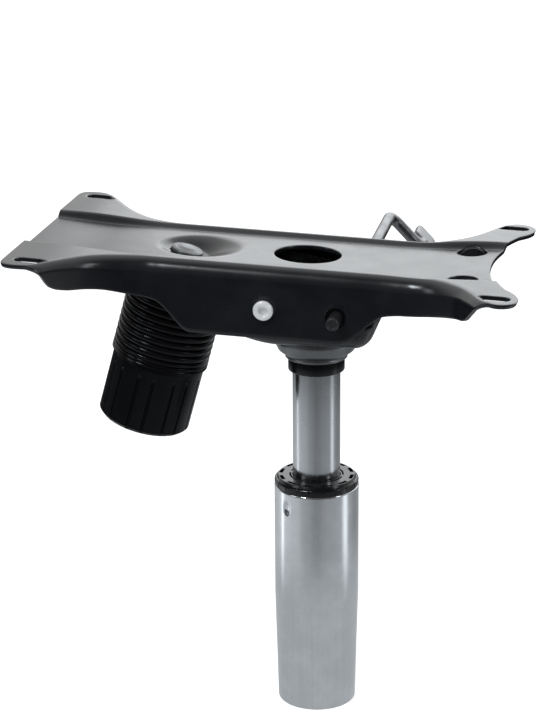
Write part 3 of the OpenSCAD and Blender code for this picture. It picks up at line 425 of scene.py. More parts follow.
def relief(x, y):
    """Height of the top: a sunk floor, deeper in its middle, between two raised rails."""
    low = -3.0 - 2.0 * fade((-0.035, 0.142, 0.823, 0.972), x)
    rail = -2.7 * fade((0.043, 0.248, 0.752, 0.950), x)
    wide = WEB * (1 + 0.14 * smooth(40, 90, x))
    return low + (rail - low) * smooth(0.85, 1.014, np.abs(y) / wide)

print("plate from", STATIONS[0, 1], "to", STATIONS[-1, 1], "mm")

# %% [markdown]
# The rows are spread evenly along the edge, and each row runs from the middle of the
# web, round the shoulder and down the skirt. The tension bolt's head sits in a slanted
# cup that is pressed into the trough, a cone about the bolt's axis blended into the floor.
# %% The plate's top surface
def even_rows(count):
    """Row places spaced evenly by the longer of the way along the middle and the edge."""
    u = np.linspace(0, 1, 4001)
    e = through(STATIONS, u)
    middle = np.abs(np.diff(e[:, 0]))
    edge = np.hypot(np.diff(e[:, 1]), np.diff(e[:, 2]))
    way = np.concatenate([[0], np.cumsum(np.maximum(middle, edge))])
    return np.interp(np.linspace(0, way[-1], count), way, u)

def cup(x, y, z):
    """Height of a cup about the bolt's axis over each place: a flat seat, then a cone."""
    c, s = math.cos(BOLT_LEAN - SEAT_LEAN), math.sin(BOLT_LEAN - SEAT_LEAN)
    ox = BOLT_X * math.cos(SEAT_LEAN) + BOLT_DROP * math.sin(SEAT_LEAN)
    oz = BOLT_X * math.sin(SEAT_LEAN) - BOLT_DROP * math.cos(SEAT_LEAN)
    h = z.copy()
    for _ in range(12):
        u, w = x - ox, h - oz
        off = np.hypot(u * c - w * s, y)
        along = 1.5 + np.maximum(0, np.hypot(off - 13, 1.2) + off - 13) / 2 / 1.15
        h = oz + (along - u * s) / c
    return h

def soft_least(a, b, k):
    """The lesser of two heights, with the corner between them rounded over a width k."""
    h = np.clip(0.5 + (b - a) / (2 * k), 0, 1)
    return b + (a - b) * h - k * h * (1 - h)

FLAT, ARC, WALL = 80, 6, 14

def plate_half(rows):
    """Rows by columns of the half with positive Y: web, rolled shoulder, then skirt."""
    e = through(STATIONS, rows)
    d = np.gradient(e, rows, axis=0)
    n = np.stack([-d[:, 2], d[:, 1]], 1)
    n /= np.linalg.norm(n, axis=1, keepdims=True)
    half_w, radius = e[:, 2:3], e[:, 4:5]
    drop = np.maximum(0.15, e[:, 3:4])
    t = np.linspace(0, 1, FLAT)[None, :]
    y = half_w * t
    bow = t ** 2.1 + 0.085 * np.sin(math.pi * np.clip((t - 0.78) / 0.22, 0, 1))
    x = e[:, 0:1] + (e[:, 1:2] - e[:, 0:1]) * bow
    z = relief(x, y)
    z = soft_least(z, cup(x, y, z), 5.0)
    turn = np.where(drop < radius, np.arccos(np.clip(1 - drop / radius, -1, 1)), math.pi / 2)
    a = turn * np.linspace(0, 1, ARC + 1)[None, 1:]
    wall = np.maximum(0, drop - radius) * np.linspace(0, 1, WALL + 1)[None, 1:]
    out = np.concatenate([radius * np.sin(a), np.repeat(radius * np.sin(turn), WALL, 1)], 1)
    down = np.concatenate([radius * (1 - np.cos(a)), radius * (1 - np.cos(turn)) + wall], 1)
    side = np.stack([e[:, 1:2] + n[:, :1] * out, e[:, 2:3] + n[:, 1:] * out,
                     relief(e[:, 1:2], e[:, 2:3]) - down], -1)
    return np.concatenate([np.stack([x, y, z], -1), side], 1)

rows = even_rows(236)
half = plate_half(rows)
top = np.concatenate([half[:, :0:-1] * np.array([1, -1, 1]), half], 1)
print("plate grid", top.shape[:2])

# %% [markdown]
# Holes are cut in the grid itself. Each is a function that is negative inside the
# hole. Where an edge of the grid crosses it, the nearer end moves onto the hole's
# edge, and the faces inside are dropped. A boolean would leave slivers instead.
# %% Cutting holes in a grid
def round_hole(px, py, r):
    return lambda p, q: np.hypot(p - px, q - py) - r

def slot_hole(px, py, l, w):
    return lambda p, q: np.hypot(np.maximum(np.abs(p - px) - (l - w) / 2, 0), q - py) - w / 2

def cut(grid, faces, flat, hole, near, height=None):
    """Snap points onto the hole in the two named axes, then keep what is outside."""
    i, j = flat
    d = hole(grid[:, i], grid[:, j])
    a, b = np.stack([faces, np.roll(faces, -1, 1)], -1).reshape(-1, 2).T
    over = near[a] & near[b] & (d[a] * d[b] < 0)
    a, b = a[over], b[over]
    pick = np.unique(np.where(np.abs(d[a]) < np.abs(d[b]), a, b))
    for _ in range(3):
        x, y, e = grid[pick, i], grid[pick, j], 1e-4
        h = hole(x, y)
        gx, gy = (hole(x + e, y) - h) / e, (hole(x, y + e) - h) / e
        grid[pick, i] -= h * gx / (gx ** 2 + gy ** 2)
        grid[pick, j] -= h * gy / (gx ** 2 + gy ** 2)
    if height:
        grid[pick, 2] = height(grid[pick, 0], grid[pick, 1])
    d = hole(grid[:, i], grid[:, j])
    d[pick] = 0
    sign = np.where(near, np.sign(np.where(np.abs(d) < 1e-3, 0, d)), 1)[faces]
    middle = hole(grid[faces, i].mean(1), grid[faces, j].mean(1))
    gone = (sign.max(1) <= 0) & ((sign.min(1) < 0) | (middle < 0))
    both = (sign.max(1) > 0) & (sign.min(1) < 0)
    f, k = faces[both], sign[both].argmax(1)
    row = np.arange(len(f))
    corner = np.stack([f[row, (k - 1) % 4], f[row, k], f[row, (k + 1) % 4], f[row, (k + 1) % 4]], 1)
    return np.concatenate([faces[~gone & ~both], corner])

def close_sheet(points, faces, outward, thick, r):
    """A sheet of a thickness behind a skin, with a rounded rim added along every edge."""
    p, quads, tris = weld(points, faces)
    faces = np.concatenate([quads, np.concatenate([tris, tris[:, 2:]], 1)])
    used = np.unique(faces)
    renum = np.full(len(p), -1)
    renum[used] = np.arange(len(used))
    faces, p = renum[faces], p[used]
    m = len(p)
    normal = np.cross(p[faces[:, 2]] - p[faces[:, 0]], p[faces[:, 3]] - p[faces[:, 1]])
    if (normal.sum(0) * np.asarray(outward)).sum() < 0:
        faces, normal = faces[:, ::-1], -normal
    n = np.zeros_like(p)
    for k in range(4):
        np.add.at(n, faces[:, k], normal)
    n /= np.linalg.norm(n, axis=1, keepdims=True) + 1e-12
    ends = np.stack([faces, np.roll(faces, -1, 1)], -1).reshape(-1, 2)
    ends = ends[ends[:, 0] != ends[:, 1]]
    code = ends[:, 0].astype(np.int64) * m + ends[:, 1]
    rim = ends[~np.isin(code, ends[:, 1].astype(np.int64) * m + ends[:, 0])]
    out = np.zeros_like(p)
    side = np.cross(p[rim[:, 1]] - p[rim[:, 0]], n[rim[:, 0]])
    side /= np.linalg.norm(side, axis=1, keepdims=True) + 1e-12
    np.add.at(out, rim[:, 0], side)
    np.add.at(out, rim[:, 1], side)
    out /= np.linalg.norm(out, axis=1, keepdims=True) + 1e-12
    b = np.unique(rim)
    c = math.sqrt(0.5) * r
    rings = [(c, r - c), (r, r), (r, thick - r), (c, thick - r + c)]
    ring = [p[b] + out[b] * a - n[b] * d for a, d in rings]
    place = np.full(m, -1)
    place[b] = np.arange(len(b))
    level = [np.arange(m)] + [2 * m + k * len(b) + place for k in range(4)] + [np.arange(m) + m]
    strips = [np.stack([level[k][rim[:, 1]], level[k][rim[:, 0]], level[k + 1][rim[:, 0]],
                        level[k + 1][rim[:, 1]]], 1) for k in range(5)]
    return np.concatenate([p, p - n * thick] + ring), np.concatenate([faces, faces[:, ::-1] + m] + strips)

# %% [markdown]
# The plate has a service hole over the gas lift, two round holes near the rear, four
# slots for the seat's bolts, and in the skirts the holes of the hinge, of the lock
# pin's guide and of the lever, whose slot is long enough for the tilt.
# %% Seat plate
def plate_place(x, drop):
    """A place beside the lift axis as the leaning plate sees it."""
    c, s = math.cos(SEAT_LEAN), math.sin(SEAT_LEAN)
    return x * c + drop * s, x * s - drop * c

def make_plate():
    """Upper skin, holes cut, then a sheet 2.5 mm thick with its edges eased."""
    g = top.reshape(-1, 3).copy()
    faces = grid_faces(*top.shape[:2])
    col = np.tile(np.arange(top.shape[1]), top.shape[0])
    flat = np.abs(col - top.shape[1] // 2) < FLAT
    wall_l, wall_r = col > top.shape[1] - WALL, col < WALL
    rear = [round_hole(86.8, s * 29.5, 8.5 + EASE) for s in (-1, 1)]
    slots = [slot_hole(x, s * 75.5, 18 + 2 * EASE, 8 + 2 * EASE) for x in (-146.8, 107.2) for s in (-1, 1)]
    for hole in [round_hole(-4.7, 0, 19.2 + EASE)] + rear + slots:
        faces = cut(g, faces, (0, 1), hole, flat, relief)
    px, pz = plate_place(*HINGE)
    lx, lz = plate_place(*PIN)
    arm, dip = math.hypot(lx - px, lz - pz), math.atan2(pz - lz, lx - px)
    a, b = (np.array([px + arm * math.cos(t), pz + arm * math.sin(t)]) for t in (-dip, math.radians(12) - dip))
    u, w = b - a
    def lever_slot(p, q):
        t = np.clip(((p - a[0]) * u + (q - a[1]) * w) / (u * u + w * w), 0, 1)
        return np.hypot(p - a[0] - t * u, q - a[1] - t * w) - 4.3 - EASE
    for hole, side in ((round_hole(px, pz, 6.0 + EASE), wall_l), (round_hole(px, pz, 6.0 + EASE), wall_r),
                       (round_hole(lx, lz, 5.75 + EASE), wall_r), (lever_slot, wall_l)):
        faces = cut(g, faces, (0, 2), hole, side)
    bolt = lean(g, SEAT_LEAN, (0, 0, 0)) - np.array([BOLT_X, 0, -BOLT_DROP])
    bolt = lean(bolt, -BOLT_LEAN, (0, 0, 0))
    inside = slot_hole(-1.5, 0, 16.2, 13.2)(bolt[:, 0], bolt[:, 1]) < 0
    faces = faces[~(inside & flat)[faces].any(1)]
    points, quads = close_sheet(g, faces, (0, 0, 1), SHEET, EASE)
    return make_mesh("seat_plate_skin", on_plate(points), quads, 40)

dress(make_plate(), "black_powder_coat", "seat", "seat_plate")

# %% [markdown]
# ## Tension unit
# The boot is a rubber bellows round the spring. It is turned from an outline of round
# ribs with sharp notches between. It has two halves, because its top stays on the
# housing while the bolt rises with the tilting seat, and its foot climbs with the
# knob: each half moves with one body, and they meet at every pose.
# %% Ribbed boot
def ribs(first, count, pitch, top_z, depth=1.7):
    """Outer line of round ribs: the radius rises steeply from each notch to its crest."""
    t = np.linspace(0, 1, 15)[None, :]
    bulge = (1 - np.abs(2 * t - 1) ** 2.6) ** 0.6
    k = np.arange(first, first + count)[:, None]
    z = top_z - (k + t) * pitch
    return np.stack([np.broadcast_to(BOOT_R - depth * (1 - bulge), z.shape), z], -1).reshape(-1, 2)

def make_boot(name, outer, body):
    """A shell 1.1 mm thick inside an outer line, open at both ends."""
    inner = outer[::-1] - np.array([1.1, 0])
    points, faces = turned(np.concatenate([outer, inner]), 160)
    piece = dress(make_mesh(name, on_bolt(points), faces, 50), "boot_rubber", body, "boot")
    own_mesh(piece)
    return piece

PITCH, LAST, BOOT_TOP = 4.2, 2.9, -BOOT_DROP - 0.05
upper = ribs(0, 6, PITCH, BOOT_TOP)
cuff = np.array([[28.5, -60.0], [28.75, -60.3], [28.75, -61.8], [28.3, -62.1], [28.75, -62.5],
                 [28.75, -64.1], [28.4, -64.35]])
last_rib = ribs(8, 1, LAST, BOOT_TOP - 8 * (PITCH - LAST))
lower = np.concatenate([ribs(6, 2, PITCH, BOOT_TOP)[:-1], last_rib[:-1], cuff])
make_boot("boot_upper", upper, "housing")
make_boot("boot_lower", lower, "bolt")

# %% [markdown]
# The knob is moulded plastic with sixteen grip grooves in eight pairs. They start below
# its rim and run out at the chamfered foot. They change the turned radius by angle.
# %% Grip knob
KNOB_TOP, KNOB_H = -64.5, 41.0
PAIRS = np.radians(np.concatenate([s * 9.5 + np.arange(8) * 45.0 for s in (-1, 1)]))

def knob_shape(a, r, z):
    """Grooves: a rounded valley 1.1 mm deep at each angle, faded in below the rim."""
    d = np.abs((a[..., None] - PAIRS + math.pi) % (2 * math.pi) - math.pi).min(-1) * 27.2
    valley = np.clip(1 - (d / 0.95) ** 2, 0, 1) ** 0.5
    fall = 1 - smooth(KNOB_TOP - 7.6, KNOB_TOP - 5.6, z)
    return np.where(r > 25.0, r - 1.15 * valley * fall, r), z

def knob_outline():
    foot = KNOB_TOP - KNOB_H
    wall = np.stack([np.full(30, 27.2), np.linspace(KNOB_TOP - 0.8, foot + 2.4, 30)], 1)
    corners = [(27.2, foot + 2.2, 0.8), (25.0, foot, 0.7), (18.2, foot, 0.5), (17.6, foot + 2, 0.6),
               (6.7, foot + 2, 0.3), (6.7, foot + 5, 0.1), (11.0, foot + 5, 0.1), (11.0, -84.25, 0.3),
               (24.2, -84.25, 0.8), (24.2, KNOB_TOP, 0.5), (27.2, KNOB_TOP, 0.8)]
    return np.concatenate([wall, rounded(corners)])

def make_knob():
    points, faces = turned(knob_outline(), 720, knob_shape)
    return make_mesh("grip_knob", on_bolt(points), faces, 45)

dress(make_knob(), "knob_plastic", "grip", "knob")

# %% [markdown]
# The tension bolt has a low domed head and a cut thread. A thread is a groove whose
# depth depends on height and angle together, so it is the same turned surface with
# its radius changed by a saw wave that moves one pitch in each turn.
# %% Tension bolt
BOLT_TAIL, THREAD = 91.8, 1.75
HEAD = [(0, 1.6, 0), (9.3, 1.6, 0.25), (9.3, 3.7, 0.55), (7.6, 4.35, 0.6), (6.9, 4.2, 0.4),
        (4.0, 5.2, 1.5), (0, 5.55, 0)]

def make_bolt():
    """Head turned from its outline; shank with a groove whose depth is a saw wave."""
    head, faces = turned(rounded(HEAD), 96)
    z = np.linspace(-BOLT_TAIL, 1.6, 380)
    a = np.linspace(0, 2 * math.pi, 40, endpoint=False)[None, :]
    wave = np.abs(((z[:, None] / THREAD - a / (2 * math.pi)) % 1) * 2 - 1)
    cut_in = (1 - smooth(-26, -22, z))[:, None]
    r = 6.0 - 0.9 * np.clip(wave * 1.3 - 0.2, 0, 1) * cut_in
    r[[0, -1]] = 0.0
    shank = np.stack([r * np.cos(a), r * np.sin(a), np.broadcast_to(z[:, None], r.shape)], -1)
    more = grid_faces(*r.shape, False, True) + head.shape[0] * head.shape[1]
    points = np.concatenate([head.reshape(-1, 3), shank.reshape(-1, 3)])
    return make_mesh("tension_bolt_turned", on_bolt(points), np.concatenate([faces, more]), 30)

dress(make_bolt(), "zinc_plate", "bolt", "tension_bolt")

# %% [markdown]
# The spring is a round wire carried along a helix whose ends close up. Like the boot
# it is two pieces that meet in the middle: one on the housing, one on the bolt.
# %% Tension spring
def make_coil(name, first, last, body):
    """Centre line: a helix with slower ends. Skin: circles square to it, as a tube."""
    turns, wire, mid_r, top_z, foot_z = 5.5, 5.4, 19.3, -28.2, -79.4
    def centre(t):
        closed = wire * 1.1
        z = np.where(t < 1, closed * t, np.where(t > turns - 1, top_z - foot_z - closed * (turns - t),
                     closed + (top_z - foot_z - 2 * closed) * (t - 1) / (turns - 2)))
        a = 2 * math.pi * t
        return np.stack([mid_r * np.cos(a), mid_r * np.sin(a), foot_z + z], -1)
    t = np.linspace(first, last, 170)
    p = centre(t)
    out = p * np.array([1, 1, 0]) / mid_r
    a = np.linspace(0, 2 * math.pi, 18, endpoint=False)
    ring = p[:, None] + wire / 2 * (out[:, None] * np.cos(a)[None, :, None]
                                    + np.array([0, 0, 1.0]) * np.sin(a)[None, :, None])
    ring = np.concatenate([np.repeat(p[:1, None], 18, 1), ring, np.repeat(p[-1:, None], 18, 1)])
    piece = make_mesh(name, on_bolt(ring), grid_faces(*ring.shape[:2], False, True), 50)
    dress(piece, "spring_steel", body, "tension_spring")
    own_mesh(piece)

make_coil("spring_upper", 2.7, 5.5, "housing")
make_coil("spring_lower", 0.0, 2.7, "bolt")

# %% [markdown]
# ## Housing
# The housing is a deep tray pressed from 3 mm sheet: round at its nose, square at the
# rear, with a slanting floor ahead where the boot seats. Its skin is carried round the
# plan outline, goes down the wall, round the lower edge and in to the spine.
# %% Housing
NOSE_X, NOSE_W, SIDE_W, REAR_X = -82.49, 29.5, 37.5, 39.5
SLOPE_X, FLOOR_DROP, CORNER_R, RIM = -52.0, 50.2, 9.2, 0.72

def plan_loop(count):
    """Plan outline from the nose round: a half circle, slants, sides and round corners."""
    a = np.radians(np.linspace(180, 270, 41))
    nose = np.stack([NOSE_X + NOSE_W * np.cos(a), NOSE_W * np.sin(a)], 1)
    c = np.radians(np.linspace(-90, 0, 9))
    corner = np.stack([REAR_X - CORNER_R * (1 - np.cos(c)), -SIDE_W + CORNER_R * (1 + np.sin(c))], 1)
    neck = np.array([[NOSE_X + 14, -SIDE_W + 2.2], [NOSE_X + 20, -SIDE_W + 0.4], [NOSE_X + 26, -SIDE_W]])
    near = np.concatenate([nose, neck, corner, [[REAR_X, 0]]])
    way = np.concatenate([[0], np.cumsum(np.linalg.norm(np.diff(near, axis=0), axis=1))])
    at = np.linspace(0, way[-1], count // 2 + 1)
    near = np.stack([np.interp(at, way, near[:, k]) for k in (0, 1)], 1)
    return np.concatenate([near, near[-2:0:-1] * np.array([1, -1])])

def tray_floor(x):
    """Depth of the floor: the boot's slanting seat, a slope that eases out, then flat."""
    def seat(x):
        return -BOLT_DROP - (BOOT_DROP + (x - BOLT_X) * math.sin(BOLT_LEAN)) / math.cos(BOLT_LEAN)
    head, t = seat(SLOPE_X), np.clip((x - SLOPE_X) / 38, 0, 1)
    return np.where(x < SLOPE_X, seat(x), head + (-FLOOR_DROP - head) * (1 - (1 - t) ** 2))

def tray_skin():
    loop = plan_loop(420)
    ahead = np.roll(loop, -1, 0) - np.roll(loop, 1, 0)
    n = np.stack([ahead[:, 1], -ahead[:, 0]], 1)
    n /= np.linalg.norm(n, axis=1, keepdims=True)
    x, y = loop[:, :1], loop[:, 1:]
    low = tray_floor(x)
    rim = np.interp(x, [-112, -22.6, REAR_X], [-13, -13, -24.5])
    rad = np.interp(x, [-112, -75, -45, REAR_X], [3.0, 4.0, 8.0, 8.0])
    k = np.linspace(0, 1, 17)[None, :]
    wall_z = rim + (low + rad - rim) * k
    a = np.radians(np.linspace(0, 90, 9))[None, 1:]
    arc_in, arc_z = rad * (1 - np.cos(a)), low + rad * (1 - np.sin(a))
    inset = np.concatenate([np.zeros_like(wall_z), arc_in], 1)
    z = np.concatenate([wall_z, arc_z], 1)
    px, py = x - n[:, :1] * inset, y - n[:, 1:] * inset
    back = smooth(2.0, REAR_X, px)
    px = px - back * np.maximum(0, -33.5 - z) * math.tan(math.radians(15))
    spine_x = np.clip(x, NOSE_X, REAR_X - SIDE_W)
    s = np.linspace(0, 1, 30)[None, 1:]
    fx = px[:, -1:] + (spine_x - px[:, -1:]) * s
    fy = py[:, -1:] * (1 - s)
    fz = tray_floor(fx)
    fz = fz + (z[:, -1:] - tray_floor(px[:, -1:])) * (1 - s)
    return np.stack([np.concatenate(pair, 1) for pair in ((px, fx), (py, fy), (z, fz))], -1)

def make_housing():
    """Outer skin with its holes cut, then a 3 mm wall added inwards."""
    skin_points = tray_skin()
    g = skin_points.reshape(-1, 3).copy()
    faces = grid_faces(*skin_points.shape[:2], True)
    sides = [(np.abs(g[:, 1]) > 30) & (s * g[:, 1] > 0) for s in (-1, 1)]
    for x, drop, r, side in ((34.6, 34, 3.0, 0), (34.6, 34, 3.0, 1), (*PIN, 5.7, 1), (*PIN, 3.85, 0)):
        faces = cut(g, faces, (0, 2), round_hole(x, -drop, r + RIM), sides[side])
    under = np.tile(np.arange(skin_points.shape[1]), skin_points.shape[0]) > 22
    faces = cut(g, faces, (0, 1), round_hole(0, 0, 18.08 + RIM), under, lambda x, y: tray_floor(x))
    points, quads = close_sheet(g, faces, (0, 0, -1), 3.0, 0.7)
    return make_mesh("housing_tray", points + np.array([0, 0, EAR_Z]), quads, 40)

dress(make_housing(), "dark_powder_coat", "housing", "lower_housing")

# %% [markdown]
# The hub under the floor is a steel bowl with a thin lip, and a black ring closes it
# round the gas cylinder. Both are turned.
# %% Hub and ring
def turned_piece(name, corners, finish, body, cad, place=on_lift, segments=128, crease=32, steps=5, shape=None):
    points, faces = turned(rounded(corners, steps), segments, shape)
    dress(make_mesh(name, place(points), faces, crease), finish, body, cad)

def below_ears(corners):
    return [(r, EAR_Z - drop, e) for r, drop, e in corners]

flare = [(25.0, 50.25, 0.3), (24.9, 55.0, 3.0), (22.3, 60.6, 4.0), (19.1, 62.8, 0.6), (18.1, 63.7, 0.3),
         (18.3, 64.2, 0.25), (18.1, 65.4, 0.4), (17.4, 65.8, 0.2), (14.1, 65.8, 0.05),
         (13.8, 41.0, 0.1), (18.0, 41.0, 0.3), (18.0, 50.2, 0.05)]
turned_piece("hub_bowl", below_ears(flare), "grey_zinc_rod", "housing", "taper_hub", steps=7)
ring = [(16.5, 65.85, 0.3), (16.5, 73.3, 0.8), (14.1, 73.95, 0.3), (14.1, 65.85, 0.1)]
turned_piece("hub_seal_ring", below_ears(ring), "black_nylon", "housing", "hub_ring")

# %% [markdown]
# The gas cylinder is ground steel with a taper at its top, and the column round it is
# satin chrome. The column's rim is rolled a little, and dimples pressed into its wall
# hold the guide bushing.
# %% Gas cylinder and column
LIFT_FOOT = 84.0
cylinder = [(13.55, EAR_Z - 39.0, 0.6), (14.0, EAR_Z - 66.0, 3.0), (14.0, LIFT_FOOT, 0.8), (5.7, LIFT_FOOT, 0.2),
            (5.7, LIFT_FOOT + 1.5, 0.2), (12.0, LIFT_FOOT + 1.5, 0.2), (12.0, EAR_Z - 57.0, 1.0),
            (3.1, EAR_Z - 57.0, 0.2), (3.1, EAR_Z - 39.0, 0.2)]
turned_piece("gas_cylinder_tube", cylinder, "ground_steel_tube", "housing", "gas_cylinder", crease=25)

DIMPLE_Z, DIMPLE_A = 128.5, math.radians(-125.0)

def column_shape(a, r, z):
    """Two round dimples 1 mm deep on opposite sides, and a small nick beside each."""
    d = (a - DIMPLE_A + math.pi / 2) % math.pi - math.pi / 2
    away = np.hypot(d * 25, (z - DIMPLE_Z) * 0.6)
    nick = np.hypot((d + 0.56) * 25, z - DIMPLE_Z - 1.0)
    return r - (1.0 * np.exp(-(away / 2.2) ** 4) + 0.5 * np.exp(-(nick / 1.1) ** 4)) * (r > 22.0), z

def column_outline():
    z = np.linspace(70.0, 136.5, 90)
    low = np.linspace(0.6, 70.0, 110)
    straight = np.stack([np.full(90, 25.0), z], 1)[1:]
    outer = np.concatenate([np.stack([23.25 + low / 70 * 1.75, low], 1), straight])
    rim = rounded([(25.0, 138.0, 0.7), (23.0, 138.0, 0.6), (23.0, 70.0, 2.0), (21.25, 0.0, 0.4),
                   (23.25, 0.0, 0.4)])
    return np.concatenate([outer, rim])

def make_column():
    points, faces = turned(column_outline(), 256, column_shape)
    return make_mesh("column_tube_turned", points, faces, 35)

dress(make_column(), "chrome_column", "column", "column_tube")

# %% [markdown]
# The guide bushing closes the column's mouth and steadies the cylinder. Its flat top
# has a ring of thin arc slots near the rim and a narrow groove, bridged by lugs, round
# the bore. The height of the turned face is changed by angle to give all three.
# %% Guide bushing
def bushing_shape(a, r, z):
    """Twelve thin arc slots near the rim, a groove with lugs at the bore, a notched edge."""
    top_face = z > 141.0
    slot = smooth(-0.3, -0.1, np.cos(12 * (a - math.radians(25.7))))
    slot = slot * smooth(20.1, 20.4, r) * (1 - smooth(21.9, 22.2, r))
    lug = smooth(0.72, 0.88, np.cos(a * 6 + 0.4))
    groove = (1 - lug) * smooth(15.0, 15.2, r) * (1 - smooth(15.9, 16.1, r))
    notch = smooth(0.93, 0.98, np.cos(a * 20)) * (r > 23.6) * (z > 138.4)
    return r - 0.35 * notch, z - top_face * (2.6 * slot + 1.5 * groove)

def bushing_outline():
    """Outer wall, collar and rim, then the fine top face in to the bore, and the bore."""
    top_z = 143.7
    rim = rounded([(22.95, 83.0, 0.3), (22.95, 138.1, 0.05), (24.9, 138.1, 0.3), (24.9, 141.4, 0.8),
                   (22.9, top_z, 0.8)])[2:-2]
    r = np.linspace(22.6, 14.5, 64)
    face = np.stack([r, np.full(len(r), top_z)], 1)
    bore = np.array([[14.1, top_z - 0.4], [14.1, 83.0]])
    return np.concatenate([rim, face, bore])

def make_bushing():
    points, faces = turned(bushing_outline(), 720, bushing_shape)
    return make_mesh("guide_bushing_turned", points, faces, 30)

dress(make_bushing(), "black_nylon", "column", "guide_bushing")

# %% [markdown]
# ## Hinge, lock and lever
# The hinge bolt's head is a domed ring with a sunk middle and a six-sided socket. A
# socket is a radius that depends on angle: the flat's distance over the cosine.
# %% Hinge bolt, nut and lock pin
def hexagon(limit):
    def shape(a, r, z):
        k = (a + math.pi / 6) % (math.pi / 3) - math.pi / 6
        return np.where(r < limit, r / np.cos(k), r), z
    return shape

axle = [(0, -55.0, 0), (4.0, -55.0, 0.4), (4.0, 44.8, 0.1), (5.7, 44.8, 0.3), (5.7, 46.6, 0.9), (4.9, 47.6, 0.5),
        (3.6, 47.5, 0.3), (3.3, 46.9, 0.2), (2.5, 46.9, 0.1), (2.5, 45.2, 0.1), (0, 45.0, 0)]
turned_piece("hinge_bolt", axle, "polished_steel", "housing", "pivot_axle",
             along_y(*HINGE, -1), 96, shape=hexagon(2.7))
nut = [(4.05, 44.8, 0.1), (6.8, 44.8, 0.3), (6.8, 50.4, 0.6), (4.6, 50.4, 0.3), (4.05, 49.9, 0.1)]

def nut_shape(a, r, z):
    k = (a + math.pi / 6) % (math.pi / 3) - math.pi / 6
    return np.where(r > 5.5, np.minimum(r / np.cos(k), 7.75 - 0.35 * (z > 50)), r), z

turned_piece("hinge_nut", nut, "zinc_plate", "housing", "pivot_nut",
             along_y(*HINGE, 1), 144, shape=nut_shape)
pin = [(0, 38.0, 0), (3.0, 38.0, 0.3), (3.75, 38.8, 0.3), (3.75, 56.1, 0.5), (3.0, 57.0, 0.3),
       (2.4, 56.9, 0.2), (2.0, 56.4, 0.3), (0, 56.3, 0)]
turned_piece("lock_pin_turned", pin, "black_pin_steel", "lock", "lock_pin", along_y(*PIN, -1), 72)
guide = [(3.83, 37.6, 0.2), (8.0, 37.6, 0.5), (8.0, 41.85, 0.5), (5.7, 41.85, 0.05), (5.7, 43.1, 0.6),
         (4.4, 43.1, 0.3), (3.83, 42.4, 0.2)]
turned_piece("lock_guide_moulded", guide, "black_nylon", "seat", "lock_guide", along_y(*PIN, -1), 96)

# %% [markdown]
# The lever is one round rod, bent twice and flattened at its end. Its centre line is
# straight runs joined by arcs, and the section changes along it from a circle to a
# flat with rounded sides, as it does under a press.
# %% Lever rod
CRANK = math.radians(46.6)

def lever_line():
    """Centre line in its own plane: along Y, across by the crank, and along Y again."""
    r, reach, step, end = 9.0, 195.0, 29.0, 230.0
    a = np.linspace(0, math.pi / 2, 14)
    parts = [np.stack([np.zeros(60), np.linspace(-27, reach - r, 60)], 1),
             np.stack([r - r * np.cos(a), reach - r + r * np.sin(a)], 1)[1:],
             np.stack([np.linspace(r, step - r, 8), np.full(8, reach)], 1)[1:],
             np.stack([step - r + r * np.sin(a), reach + r - r * np.cos(a)], 1)[1:],
             np.stack([np.full(60, step), np.linspace(reach + r, end, 60)], 1)[1:]]
    return np.concatenate(parts)

def make_lever():
    """Sections: a rounded box whose half sizes and squareness change near the end."""
    p = lever_line()
    t = np.gradient(p, axis=0)
    t /= np.linalg.norm(t, axis=1, keepdims=True)
    side = np.stack([t[:, 1], -t[:, 0]], 1)
    flat = smooth(205, 212.5, p[:, 1]) * (p[:, 0] > 20)
    tip = np.clip((p[:, 1] - 227) / 3, 0, 1) * (p[:, 0] > 20)
    half_w = 3.75 + 4.25 * flat - 3.0 * (1 - np.sqrt(np.maximum(0, 1 - tip ** 2)))
    half_t = 3.75 - 1.75 * flat
    power = 2 + 5 * flat
    a = np.linspace(0, 2 * math.pi, 40, endpoint=False)[None, :]
    c, s = np.cos(a), np.sin(a)
    grow = (np.abs(c) ** power[:, None] + np.abs(s) ** power[:, None]) ** (-1 / power[:, None])
    u, v = half_w[:, None] * c * grow, half_t[:, None] * s * grow
    u[-1] *= 0.97
    v[-1] *= 0.9
    e = p[:, :1] + u * side[:, :1]
    y = p[:, 1:] + u * side[:, 1:]
    x = PIN[0] + e * math.cos(CRANK) + v * math.sin(CRANK)
    z = EAR_Z - PIN[1] - e * math.sin(CRANK) + v * math.cos(CRANK)
    skin_p = np.stack([x, y, z], -1)
    ends = [np.repeat(skin_p[k].mean(0)[None, None], 40, 1) for k in (0, -1)]
    skin_p = np.concatenate([ends[0], skin_p, ends[1]])
    return make_mesh("lever_rod_bent", skin_p, grid_faces(*skin_p.shape[:2], False, True), 40)

dress(make_lever(), "grey_zinc_rod", "lever", "lever_rod")

# %% [markdown]
# The inner pieces keep their CAD shape, because they are plain turned or flat parts,
# and get the finish that their slot in the record names.
# %% Finishes of the CAD pieces that stay
slots = {s["node"]: s["material_slot"] for s in frame["record"]["subparts"]}
dressed = 0
for name, piece in frame["nodes"].items():
    for place in piece.material_slots:
        place.material = finishes[slots[name]]
        dressed += 1
print(dressed, "CAD pieces dressed")

# %% [markdown]
# ## Studio
# A pale floor carries the shadow. The floor and the world are white to the camera. In
# reflections the floor shows a painted reflection, an emission that is no lamp: grey
# below the object, bright round it with one narrow bright painted streak, and dark far
# out, so that the tubes show painted streaks and the black paint stays black.
# %% Floor and world
def soft_range(t, value, a, b, c, d):
    sockets = dict(zip(("Value", "From Min", "From Max", "To Min", "To Max"), (value, a, b, c, d)))
    return node(t, "MapRange", sockets, interpolation_type="SMOOTHSTEP").outputs[0]

